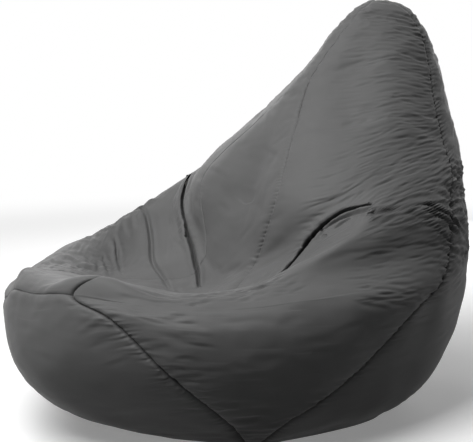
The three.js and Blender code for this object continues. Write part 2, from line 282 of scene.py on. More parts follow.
def spline_between(before: Points, start: Points, end: Points, after: Points, share: Points) -> Points:
    """A centripetal Catmull-Rom stretch, which rounds a line through its points evenly.

    Args:
        before: the points before the stretch, shape (..., n).
        start: the points where it starts.
        end: the points where it ends.
        after: the points after it.
        share: how far along it each result lies, from 0 to 1, broadcast over the points.

    Returns:
        The points on the curve.
    """
    def knot(a: Points, b: Points) -> Points:
        """The root of a chord's length, which spaces the curve's knots."""
        return np.sqrt(np.maximum(np.linalg.norm(b - a, axis=-1, keepdims=True), 1e-9))

    here = knot(start, end)
    back = knot(before, start)
    on = knot(end, after)
    leave = ((start - before) / back - (end - before) / (back + here) + (end - start) / here) * here
    arrive = ((end - start) / here - (after - start) / (here + on) + (after - end) / on) * here
    square = share * share
    cube = square * share
    return (
        start
        + leave * share
        + (3 * (end - start) - 2 * leave - arrive) * square
        + (2 * (start - end) + leave + arrive) * cube
    )


def smooth_path(points: tuple[tuple[float, float], ...], samples: int) -> Points:
    """Rounds a path through a few places.

    Args:
        points: the places.
        samples: how many points to give back.

    Returns:
        The points, evenly spread between the path's places.
    """
    path = np.array(points, float)
    padded = np.concatenate([2 * path[:1] - path[1:2], path, 2 * path[-1:] - path[-2:-1]])
    place = np.linspace(0, len(path) - 1, samples)
    at = np.minimum(place.astype(int), len(path) - 2)
    share = (place - at)[:, None]
    return spline_between(*[padded[at + step] for step in range(4)], share)


@dataclass(frozen=True)
class Settling:
    """A place where the filling has sunk or been pushed up. In millimetres."""

    centre: tuple[float, float, float]
    reach: tuple[float, float, float]
    rise: float

    def rise_at(self, places: Points) -> Points:
        """How far points rise, for points in metres in the pattern's coordinates."""
        offset = (places / MM - np.array(self.centre)) / np.array(self.reach)
        return self.rise * MM * np.exp(-(offset**2).sum(axis=-1))


SETTLED = (
    # The front corner on the sitter's right has slumped.
    Settling((-190, -480, 330), (170, 150, 120), -36),
    # The left arm's inner edge stands up, and the seat is hollow beside it.
    Settling((268, -285, 335), (55, 95, 60), 15),
    Settling((150, -200, 290), (85, 95, 60), -22),
)


@dataclass(frozen=True)
class SeamSway:
    """Where each front seam runs on a bag that has been sat in, as (level, around) pairs."""

    left: tuple[tuple[float, float], ...] = (
        (0, 1), (8, 1), (8.6, 0.97), (10, 0.95), (11, 0.84), (11.6, 0.78), (12.5, 0.86), (14, 1),
    )
    right: tuple[tuple[float, float], ...] = (
        (0, 1), (7, 1), (7.4, 0.85), (7.7, 0.62), (7.9, 0.56), (8.1, 0.7), (8.3, 0.84), (8.5, 0.92),
        (8.7, 1.0), (8.9, 1.12), (9.1, 1.3), (9.34, 1.38), (9.6, 1.3), (10, 1.22), (10.4, 1.12),
        (11, 1.0), (14, 1),
    )
    blur: float = 0.16  # levels

    def _seam(self, side: Side, rows: Points) -> Points:
        """The seam's place round the bag on each row, as a positive number."""
        levels, around = np.array(self.left if side is Side.LEFT else self.right).T
        steps = np.linspace(-self.blur, self.blur, 9)
        return np.mean([np.interp(rows + step, levels, around) for step in steps], axis=0)

    def around(self, rows: Points, columns: Points) -> Points:
        """Where each grid point stands round the bag.

        Args:
            rows: the rows' levels.
            columns: the columns' places, on which the front seams stand at 1 and -1.

        Returns:
            The places, shape (rows, columns).
        """
        signed = signed_place(columns)
        reach = np.abs(signed)[None, :]
        left = self._seam(Side.LEFT, rows)[:, None]
        right = self._seam(Side.RIGHT, rows)[:, None]
        seam = np.where(signed[None, :] >= 0, left, right)
        between = Line.REAR_SEAM - Line.FRONT_SEAM
        side_panel = seam + (reach - Line.FRONT_SEAM) * (Line.REAR_SEAM - seam) / between
        moved = np.where(reach <= Line.FRONT_SEAM, reach * seam, side_panel)
        moved = np.where(reach >= Line.REAR_SEAM, reach, moved)
        return np.sign(signed)[None, :] * moved % AROUND


@dataclass(frozen=True)
class BagShape:
    """The bag's outer surface, found from the pattern's lines."""

    shift: float  # metres along Y, which stands the bag over the frame's origin
    settled: tuple[Settling, ...] = SETTLED

    def places(self, around: Points, levels: Points) -> Points:
        """Finds points of the surface.

        Args:
            around: how far round the bag each point stands, shape (rows, columns).
            levels: each row's level.

        Returns:
            The points in metres, shape (rows, columns, 3).
        """
        half = self._along_lines(levels)
        mirrored = half[:, -2:0:-1] * np.array([-1.0, 1.0, 1.0])
        loop = np.concatenate([half, mirrored], axis=1)
        whole = np.floor(around).astype(int)
        share = (around - whole)[..., None]
        near = [
            np.take_along_axis(loop, ((whole + step) % AROUND)[..., None], axis=1)
            for step in (-1, 0, 1, 2)
        ]
        places = spline_between(*near, share)
        places[..., 2] += sum(settling.rise_at(places) for settling in self.settled)
        places[..., 1] += self.shift
        return places

    def _along_lines(self, levels: Points) -> Points:
        """Each line's point at each level, shape (levels, 7, 3)."""
        lines = np.array([PATTERN[line] for line in Line], float) * MM
        first = 2 * lines[:, :1] - lines[:, 1:2]
        last = 2 * lines[:, -1:] - lines[:, -2:-1]
        padded = np.concatenate([first, lines, last], axis=1)
        at = np.clip(levels.astype(int), 0, Level.APEX - 1)
        share = (levels - at)[None, :, None]
        return spline_between(*[padded[:, at + step] for step in range(4)], share).transpose(1, 0, 2)


@dataclass(frozen=True)
class GridSpacing:
    """How close the fine grid's rows and columns stand."""

    columns_between_lines: tuple[int, ...] = (24, 22, 44, 28, 26, 22)
    row_step: float = 2.3  # mm of cloth between two rows, at most
    seam_cluster: tuple[float, ...] = (1.3, 2.8, 4.8, 7.6, 11.5)  # mm from a seam
    usual_stretch: float = 200.0  # mm between two lines, which turns the cluster into shares
    cross_seam_cluster: tuple[float, ...] = (-0.045, -0.02, 0.02, 0.045)  # levels from the front's seam
    top_gap: float = 0.02  # levels between the last two rows, at least
    least_rows: int = 4  # between two levels

    def columns(self) -> Points:
        """Where the columns stand round the bag, close together beside each seam."""
        half: list[float] = []
        for start, count in enumerate(self.columns_between_lines):
            half.extend(start + share for share in self._shares(start, count))
        mirrored = [AROUND - place for place in reversed(half) if place > 0]
        return np.array([*half, float(Line.BACK_CENTRE), *mirrored])

    def _shares(self, start: int, count: int) -> list[float]:
        """The columns between two lines, as shares of the way from the first to the second."""
        close = [offset / self.usual_stretch for offset in self.seam_cluster]
        low = [0.0, *close] if start in SEAM_LINES else [0.0]
        high = [1 - share for share in reversed(close)] if start + 1 in SEAM_LINES else []
        last = high[0] if high else 1.0
        return [*low, *np.linspace(low[-1], last, count + 1)[1:-1], *high]

    def rows(self) -> Points:
        """At which levels the rows stand, close together beside the front's cross seam."""
        lines = np.array([PATTERN[line] for line in Line], float)
        longest = np.linalg.norm(np.diff(lines, axis=1), axis=2).max(axis=0)
        levels: list[float] = []
        for level, length in enumerate(longest):
            count = max(self.least_rows, math.ceil(length / self.row_step))
            levels.extend(level + step / count for step in range(count))
        levels = [level for level in levels if level < TOP_LEVEL - self.top_gap]
        close = [Level.FRONT_CROSS_SEAM + gap for gap in self.cross_seam_cluster]
        return np.array(sorted({*levels, *close, TOP_LEVEL}))


@dataclass
class CoverGrid:
    """The cover's outer face as a grid: rows from the floor up, columns round from the front.

    Each row holds a whole loop, and its first column is the front's middle.
    """

    bag: BagShape
    columns: Points
    rows: Points
    sway: SeamSway = field(default_factory=SeamSway)
    places: Points = field(init=False)

    def __post_init__(self) -> None:
        """Lays the grid over the bag."""
        self.places = self.bag.places(self.sway.around(self.rows, self.columns), self.rows)

    @property
    def shape(self) -> tuple[int, int]:
        """The numbers of rows and columns."""
        return self.places.shape[0], self.places.shape[1]

    def column_of(self, around: float) -> int:
        """The column nearest to a place round the bag; the right half counts down from 0."""
        return int(np.argmin(np.abs(signed_place(self.columns - around % AROUND))))

    def seam_columns(self) -> list[int]:
        """The columns of all the seams that run up the bag."""
        return [self.column_of(side * line) for side in Side for line in SEAM_LINES]

    def row_of(self, level: float) -> int:
        """The row nearest to a level."""
        return int(np.argmin(np.abs(self.rows - level)))

    def across(self) -> Points:
        """The unit direction round the bag at each point."""
        return unit(np.roll(self.places, -1, axis=1) - np.roll(self.places, 1, axis=1))

    def up(self) -> Points:
        """The unit direction from the floor to the crown at each point."""
        return unit(np.gradient(self.places, axis=0))

    def normals(self) -> Points:
        """The unit direction out of the bag at each point."""
        return unit(np.cross(self.across(), self.up()))


@dataclass(frozen=True)
class FlatStrip:
    """The strip along the zip that stays flat, because the tapes hold it. In millimetres."""

    half_width: float = 14.0
    past_ends: float = 10.0
    fade: float = 26.0  # how far from it the folds are back

    def share_outside(self, grid: CoverGrid) -> Points:
        """Finds where the cloth may fold.

        Args:
            grid: the cover's grid.

        Returns:
            A share for each point, 0 in the strip and 1 away from it.
        """
        heights = grid.places[..., 2] / MM
        low, high = ZIP_ARC.ends(self.past_ends)
        past = np.maximum(np.maximum(low - heights, heights - high), 0)
        aside = np.maximum(np.abs(grid.places[..., 0]) / MM - self.half_width, 0)
        behind = grid.places[..., 1] > 0
        return np.where(behind, smooth_step(np.hypot(aside, past) / self.fade), 1)


# ---- Simulated cloth ----


@dataclass(frozen=True)
class CoverCloth:
    """A cloth simulation of the stuffed cover: the seams hold while the panels swell and buckle.

    It runs on a coarse lattice of the cover's grid, and its folds are laid over the fine grid.
    """

    row_step: int = 4
    column_step: int = 3
    frames: int = 20
    pressure: float = 4.0
    spare_cloth: float = 0.018  # how much more cloth there is than the smooth bag needs
    cap: float = 2.2  # mm that a point may move
    slow_passes: int = 40  # averaging passes that find the slow swelling, which is left out

    def heights(self, grid: CoverGrid) -> Points:
        """Finds how far the simulated folds stand out from the smooth cover.

        Args:
            grid: the smooth cover.
        """
        rows, columns = self._lattice(grid)
        window = np.ix_(rows, columns)
        start = grid.places[window]
        moved = self._simulate(start, self._pinned(grid, rows, columns)) - start
        swell = (moved * grid.normals()[window]).sum(axis=2)
        folds = swell - self._averaged(swell, self.slow_passes)
        folds = self.cap * MM * np.tanh(folds / (self.cap * MM))
        folds[0] = 0
        fine = self._spread(folds, rows, columns, grid.shape)
        LOG.info("cloth folds: %.1f to %.1f mm", fine.min() / MM, fine.max() / MM)
        return fine

    def _lattice(self, grid: CoverGrid) -> tuple[Points, Points]:
        """The rows and columns that are simulated, among them every seam."""
        total_rows, total_columns = grid.shape
        columns = np.unique([*range(0, total_columns, self.column_step), *grid.seam_columns()])
        cross = grid.row_of(Level.FRONT_CROSS_SEAM)
        return np.unique([*range(0, total_rows, self.row_step), cross, total_rows - 1]), columns

    def _pinned(self, grid: CoverGrid, rows: Points, columns: Points) -> Points:
        """Tells which lattice points are held: the seams, the floor's edge and the crown.

        Args:
            grid: the smooth cover.
            rows: the lattice's rows.
            columns: the lattice's columns.

        Returns:
            A flat array of true and false.
        """
        held = np.zeros((len(rows), len(columns)), bool)
        held[:, np.isin(columns, grid.seam_columns())] = True
        held[[0, -1]] = True
        in_front = np.abs(signed_place(grid.columns[columns])) <= Line.FRONT_SEAM
        held[rows == grid.row_of(Level.FRONT_CROSS_SEAM)] |= in_front
        return held.ravel()

    def _simulate(self, start: Points, pinned: Points) -> Points:
        """Runs the simulation.

        Args:
            start: the lattice's points.
            pinned: which of them are held.

        Returns:
            The lattice's points at its end.
        """
        rows, columns = start.shape[:2]
        floor = [tuple(range(columns - 1, -1, -1))]
        crown = [tuple(range((rows - 1) * columns, rows * columns))]
        faces = [*grid_faces(rows, columns, loop=True).tolist(), *floor, *crown]
        model = new_object("cloth_model", start.reshape(-1, 3), faces)
        group = model.vertex_groups.new(name="held")
        group.add(np.flatnonzero(pinned).tolist(), 1.0, "REPLACE")
        modifier = model.modifiers.new("cloth", "CLOTH")
        self._set_up(modifier)
        scene = bpy.context.scene
        for frame in range(1, self.frames + 1):
            scene.frame_set(frame)
        depsgraph = bpy.context.evaluated_depsgraph_get()
        cloth = model.evaluated_get(depsgraph).to_mesh()
        end = np.empty(rows * columns * 3)
        cloth.vertices.foreach_get("co", end)
        bpy.data.objects.remove(model)
        scene.frame_set(1)
        return end.reshape(rows, columns, 3)

    def _set_up(self, modifier: bpy.types.ClothModifier) -> None:
        """Sets the cloth's properties, those of a light, firmly woven polyester."""
        cloth = modifier.settings
        cloth.quality = 5
        cloth.mass = 0.15
        cloth.tension_stiffness = 15
        cloth.compression_stiffness = 15
        cloth.shear_stiffness = 5
        cloth.bending_stiffness = 0.5
        cloth.air_damping = 2
        cloth.use_pressure = True
        cloth.uniform_pressure_force = self.pressure
        cloth.shrink_min = -self.spare_cloth
        cloth.vertex_group_mass = "held"
        cloth.effector_weights.gravity = 0
        modifier.collision_settings.use_collision = False
        modifier.point_cache.frame_end = self.frames

    def _averaged(self, values: Points, passes: int) -> Points:
        """Averages each value with its four neighbours, again and again.

        Args:
            values: the values.
            passes: how many times.

        Returns:
            The slow part of the values.
        """
        for _ in range(passes):
            values = with_neighbours(values).mean(axis=0)
        return values

    def _spread(self, values: Points, rows: Points, columns: Points, shape: tuple[int, int]) -> Points:
        """Spreads the lattice's values over the fine grid, smoothly.

        Args:
            values: the lattice's values.
            rows: its rows.
            columns: its columns.
            shape: the fine grid's rows and columns.

        Returns:
            A value for each point of the fine grid.
        """
        wide = np.column_stack([values, values[:, 0]])
        stops = np.append(columns, shape[1])
        stretched = np.array([np.interp(np.arange(shape[1]), stops, row) for row in wide])
        fine = np.array([np.interp(np.arange(shape[0]), rows, column) for column in stretched.T]).T
        return self._averaged(fine, 2 * self.row_step)


# ---- Folds and wrinkles ----


CREASE_POINTS = 90  # points along a crease's line

# A small fold's section: a valley, and a low ridge beside it. In half widths of the valley.
RIDGE_HEIGHT = 0.55  # of the valley's depth
RIDGE_PLACE = 1.7
RIDGE_SPREAD = 1.4
SEAM_FADE = 1.5  # how fast a pucker fades away from its seam, as a power


@dataclass(frozen=True)
class Crease:
    """A fold pressed into the cloth along a path of (around, level) places.

    Its sizes are in millimetres. The gather is how far from it the cloth is drawn in, and the
    fullness turns its section from a V (1) towards a U (3).
    """

    path: tuple[tuple[float, float], ...]
    depth: float
    half_width: float
    lip: float = 0.0
    gather: float = 0.0
    fullness: float = 1.5
    taper: float = 0.6
    inward: tuple[float, float, float] | None = None  # which way it folds in, if not straight in
    pull: float = 1.1  # how closely the cloth is packed where it is drawn in
    end_width: float = 0.3  # of the half width, at its ends
    roll_place: float = 2.0  # half widths from its middle to the top of the roll beside it
    roll_width: float = 1.3  # half widths
    reach: float = 6.0  # half widths


@dataclass(frozen=True)
class WrinkleField:
    """Many small creases scattered over part of the bag. Sizes are in millimetres."""

    around: tuple[float, float]
    level: tuple[float, float]
    count: int
    tilt: tuple[float, float]  # degrees from the direction round the bag
    length: tuple[float, float]
    width: tuple[float, float]
    depth: tuple[float, float]


@dataclass(frozen=True)
class SeamPuckers:
    """The gathers beside one seam, and how strong they are at some levels."""

    line: Line
    strength: tuple[tuple[float, float], ...]
    spacing: float = 8.0
    length: tuple[float, float] = (10.0, 42.0)
    width: tuple[float, float] = (1.8, 3.2)
    front_share: float = 1.0  # strength on the side nearer the front
    rear_share: float = 1.0
    sides: tuple[Side, ...] = (Side.LEFT, Side.RIGHT)
    depth: tuple[float, float] = (0.7, 1.8)  # at strength 1
    lean: float = 0.35  # radians from square to the seam, at most
    uneven: tuple[float, float] = (0.55, 1.5)  # of the spacing
    growth: tuple[float, float] = (0.5, 0.6)  # of the length, at strength 0 and for each 1 more


@dataclass
class Relief:
    """Moves the grid's points to give the cloth its folds."""

    grid: CoverGrid
    random: np.random.Generator
    height: Points = field(init=False)
    normals: Points = field(init=False)
    across: Points = field(init=False)
    up: Points = field(init=False)
    smooth_places: Points = field(init=False)
    smooth_normals: Points = field(init=False)
    tuck: Points = field(init=False)

    def __post_init__(self) -> None:
        """Starts from a smooth bag, which the inner layers are measured from."""
        self.height = np.zeros(self.grid.shape)
        self.tuck = np.zeros(self.grid.places.shape)
        self.measure()
        self.smooth_places = self.grid.places.copy()
        self.smooth_normals = self.normals

    def measure(self) -> None:
        """Reads the directions off the grid, as after its points have slid."""
        self.normals = self.grid.normals()
        self.across = self.grid.across()
        self.up = self.grid.up()

    def _trace(self, crease: Crease) -> tuple[Points, Points, Points]:
        """Finds a crease's line on the surface.

        Args:
            crease: the crease.

        Returns:
            Points along it, the unit direction to its side at each, and its strength at each.
        """
        path = smooth_path(crease.path, CREASE_POINTS)
        line = self.grid.bag.places(path[:, :1] % AROUND, path[:, 1])[:, 0]
        flat = self.grid.places.reshape(-1, 3)
        margin = 20 * MM
        near = np.flatnonzero(self._boxed(flat, line, margin))
        gap = np.linalg.norm(flat[near][None] - line[:, None], axis=2)
        normals = self.normals.reshape(-1, 3)[near[gap.argmin(axis=1)]]
        side = unit(np.cross(normals, np.gradient(line, axis=0)))
        strength = np.sin(np.pi * np.linspace(0, 1, len(line))) ** crease.taper
        return line, side, strength

    def _boxed(self, places: Points, line: Points, margin: float) -> Points:
        """Tells which places are in the box round a line, with a margin in metres."""
        return np.all((places > line.min(axis=0) - margin) & (places < line.max(axis=0) + margin), axis=1)

    def _beside(self, line: Points, side: Points, reach: float) -> tuple[Points, Points, Points]:
        """Finds the grid points beside a line on the surface.

        Args:
            line: points along the line.
            side: the direction to the line's side at each of them.
            reach: how far from it points still count, in metres.

        Returns:
            The flat numbers of the grid points, the nearest point on the line to each, and
            their signed distances to the line's side.
        """
        flat = self.grid.places.reshape(-1, 3)
        near = np.flatnonzero(self._boxed(flat, line, reach))
        gap = np.linalg.norm(flat[near, None] - line[None], axis=2)
        nearest = gap.argmin(axis=1)
        close = gap[np.arange(len(near)), nearest] < reach
        near = near[close]
        nearest = nearest[close]
        offset = flat[near] - line[nearest]
        return near, nearest, (offset * side[nearest]).sum(axis=1)

    def gather(self, crease: Crease) -> None:
        """Draws the cloth beside a crease in towards it, which packs its points there."""
        line, side, strength = self._trace(crease)
        reach = crease.gather * MM
        near, nearest, distance = self._beside(line, side, reach)
        share = np.clip(np.abs(distance) / reach, 0, 1)
        drawn = np.sign(distance) * reach * share ** (1 + crease.pull * strength[nearest])
        flat = self.grid.places.reshape(-1, 3)
        flat[near] += side[nearest] * (drawn - distance)[:, None]

    def ease(self, crease: Crease) -> None:
        """Takes the folds away beside a deep crease, where the cloth is drawn tight."""
        line, side, _ = self._trace(crease)
        reach = 2 * crease.gather * MM
        near, _, distance = self._beside(line, side, reach)
        self.height.reshape(-1)[near] *= smooth_step(np.abs(distance) / reach)

    def press(self, crease: Crease) -> None:
        """Presses a crease in, with a soft roll of cloth along both sides."""
        line, side, strength = self._trace(crease)
        width = crease.half_width * MM
        near, nearest, distance = self._beside(line, side, crease.reach * width)
        strong = strength[nearest]
        narrow = width * (crease.end_width + (1 - crease.end_width) * strong)
        share = np.clip(np.abs(distance) / narrow, 0, 1)
        valley = 1 - share**crease.fullness
        from_roll = np.abs(distance) / narrow - crease.roll_place
        roll = np.exp(-((from_roll / crease.roll_width) ** 2))
        deep = strong * np.where(share < 1, crease.depth * valley, 0) * MM
        self.height.reshape(-1)[near] += strong * crease.lip * roll * MM
        if crease.inward is None:
            self.height.reshape(-1)[near] -= deep
        else:
            self.tuck.reshape(-1, 3)[near] += deep[:, None] * unit(np.array(crease.inward))

    def stroke(
        self, row: int, column: int, tilt: float, length: float, width: float, depth: float,
        one_sided: bool = False,
    ) -> None:
        """Adds one small crease, a valley with a low ridge beside it.

        Args:
            row: the row of its middle, or of its start if it is one-sided.
            column: the column of that point.
            tilt: its direction, in radians from the direction round the bag.
            length: its length in metres.
            width: its half width in metres.
            depth: how deep it is in metres.
            one_sided: whether it starts at full depth and fades, as beside a seam.
        """
        rows, columns = self._window(row, column, tilt, (length if one_sided else length / 2) + 2 * width)
        window = np.ix_(rows, columns)
        along = math.cos(tilt) * self.across[row, column] + math.sin(tilt) * self.up[row, column]
        beside = np.cross(self.normals[row, column], along)
        offset = self.grid.places[window] - self.grid.places[row, column]
        lengthways = offset @ along
        sideways = offset @ beside / width
        if one_sided:
            share = np.clip(lengthways / length, 0, 1)
            behind_start = -0.5 * MM
            fade = (1 - share) ** SEAM_FADE * (lengthways > behind_start)
        else:
            fade = np.clip(1 - (2 * lengthways / length) ** 2, 0, 1) ** 2
        ridge = RIDGE_HEIGHT * np.exp(-((sideways - RIDGE_PLACE) ** 2) / RIDGE_SPREAD)
        profile = ridge - np.exp(-(sideways**2))
        self.height[window] += depth * fade * profile

    def _window(self, row: int, column: int, tilt: float, reach: float) -> tuple[Points, Points]:
        """The rows and columns that a small crease can touch.

        Args:
            row: the row of its place.
            column: the column of its place.
            tilt: its direction, in radians from the direction round the bag.
            reach: how far it goes from its place, in metres.

        Returns:
            The numbers of the rows and of the columns.
        """
        places = self.grid.places
        total_rows, total_columns = self.grid.shape
        above = places[min(row + 1, total_rows - 1), column]
        row_gap = np.linalg.norm(above - places[max(row - 1, 0), column]) / 2
        beyond = places[row, (column + 2) % total_columns]
        column_gap = np.linalg.norm(beyond - places[row, column - 2]) / 4
        margin = 12 * MM
        least_gap = 0.3 * MM
        rise = abs(math.sin(tilt)) * reach + margin
        run = abs(math.cos(tilt)) * reach + margin
        rows_out = int(min(total_rows / 4, rise / max(row_gap, least_gap) + 2))
        columns_out = int(min(total_columns / 3, run / max(column_gap, least_gap) + 3))
        rows = np.arange(max(row - rows_out, 0), min(row + rows_out + 1, total_rows))
        return rows, np.arange(column - columns_out, column + columns_out + 1) % total_columns

    def scatter(self, wrinkles: WrinkleField) -> None:
        """Scatters a field of small creases."""
        draw = self.random.uniform
        for _ in range(wrinkles.count):
            row = self.grid.row_of(draw(*wrinkles.level))
            column = self.grid.column_of(draw(*wrinkles.around))
            tilt = math.radians(draw(*wrinkles.tilt))
            length = draw(*wrinkles.length) * MM
            width = draw(*wrinkles.width) * MM
            self.stroke(max(row, 1), column, tilt, length, width, draw(*wrinkles.depth) * MM)

    def pucker(self, puckers: SeamPuckers, side: Side) -> None:
        """Gathers the cloth beside a seam, where the thread is shorter than the cloth."""
        levels, strengths = np.array(puckers.strength).T
        draw = self.random.uniform
        column = self.grid.column_of(side * puckers.line)
        line = self.grid.places[:, column]
        run = np.concatenate([[0], np.cumsum(np.linalg.norm(np.diff(line, axis=0), axis=1))])
        place = puckers.spacing * MM
        last_place = run[-1] - 4 * MM
        while place < last_place:
            row = int(np.searchsorted(run, place))
            strength = float(np.interp(self.grid.rows[row], levels, strengths))
            for share, way in ((puckers.front_share, -side), (puckers.rear_share, side)):
                length = draw(*puckers.length) * MM * (puckers.growth[0] + puckers.growth[1] * strength)
                depth = draw(*puckers.depth) * MM * strength * share
                tilt = (0 if way > 0 else math.pi) + draw(-puckers.lean, puckers.lean)
                width = draw(*puckers.width) * MM
                self.stroke(max(row, 1), column, tilt, length, width, depth, True)
            place += puckers.spacing * MM * draw(*puckers.uneven)

    def groove(self, column: int, strength: Points, depth: float, width: float, crown: float) -> None:
        """Draws a seam's groove up the bag, with the cloth crowned beside it.

        Args:
            column: the seam's column.
            strength: how strong the groove is on each row.
            depth: the groove's depth in millimetres.
            width: the distance in which it fades, in millimetres.
            crown: how far the cloth stands proud beside it, in millimetres.
        """
        distance = self._seam_distance(column)
        crown_reach = 60.0
        dip = -depth * np.exp(-distance / width)
        swell = crown * (1 - np.exp(-distance / (2.5 * width))) * np.exp(-((distance / crown_reach) ** 2))
        self.height += strength[:, None] * (dip + swell) * MM

    def step(self, column: int, side: Side, strength: Points) -> None:
        """Lays one panel's edge over the other: a ridge behind the seam and a dip before it.

        Args:
            column: the seam's column.
            side: the half of the bag that the seam is on.
            strength: how strong the step is on each row.
        """
        distance = self._seam_distance(column)
        turn = (np.arange(self.grid.shape[1]) - column) % self.grid.shape[1]
        behind = (turn < self.grid.shape[1] / 2) == (side is Side.LEFT)
        ridge_height, ridge_place, ridge_width = 2.6, 3.2, 3.0
        dip_depth, dip_width = 2.8, 9.0
        ridge = ridge_height * np.exp(-(((distance - ridge_place) / ridge_width) ** 2))
        dip = -dip_depth * np.exp(-((distance / dip_width) ** 2))
        self.height += strength[:, None] * np.where(behind[None, :], ridge, dip) * MM

    def _seam_distance(self, column: int) -> Points:
        """Each point's distance from a seam's column, measured across its row, in millimetres."""
        offset = self.grid.places - self.grid.places[:, column : column + 1]
        return np.linalg.norm(offset, axis=2) / MM

    def ripple(self, waves: int, wavelength: tuple[float, float], height: float) -> None:
        """Adds slow, uneven waves all over.

        Args:
            waves: how many waves are added together.
            wavelength: the shortest and longest of them, in millimetres.
            height: their height all together, in millimetres.
        """
        total = np.zeros(self.grid.shape)
        for _ in range(waves):
            direction = unit(self.random.normal(size=3))
            length = self.random.uniform(*wavelength) * MM
            phase = self.random.uniform(0, 2 * math.pi)
            total += np.sin(self.grid.places @ direction * 2 * math.pi / length + phase)
        self.height += total * height * MM / math.sqrt(waves)

    def calm(self, share: Points) -> None:
        """Takes the folds away where the share is 0, and keeps them where it is 1."""
        self.height *= share

    def apply(self) -> None:
        """Moves the grid's points by the heights, and keeps them above the floor."""
        self.grid.places += self.normals * self.height[..., None] + self.tuck
        self.grid.places[..., 2] = np.maximum(self.grid.places[..., 2], 0)
        self.grid.places[0, :, 2] = 0


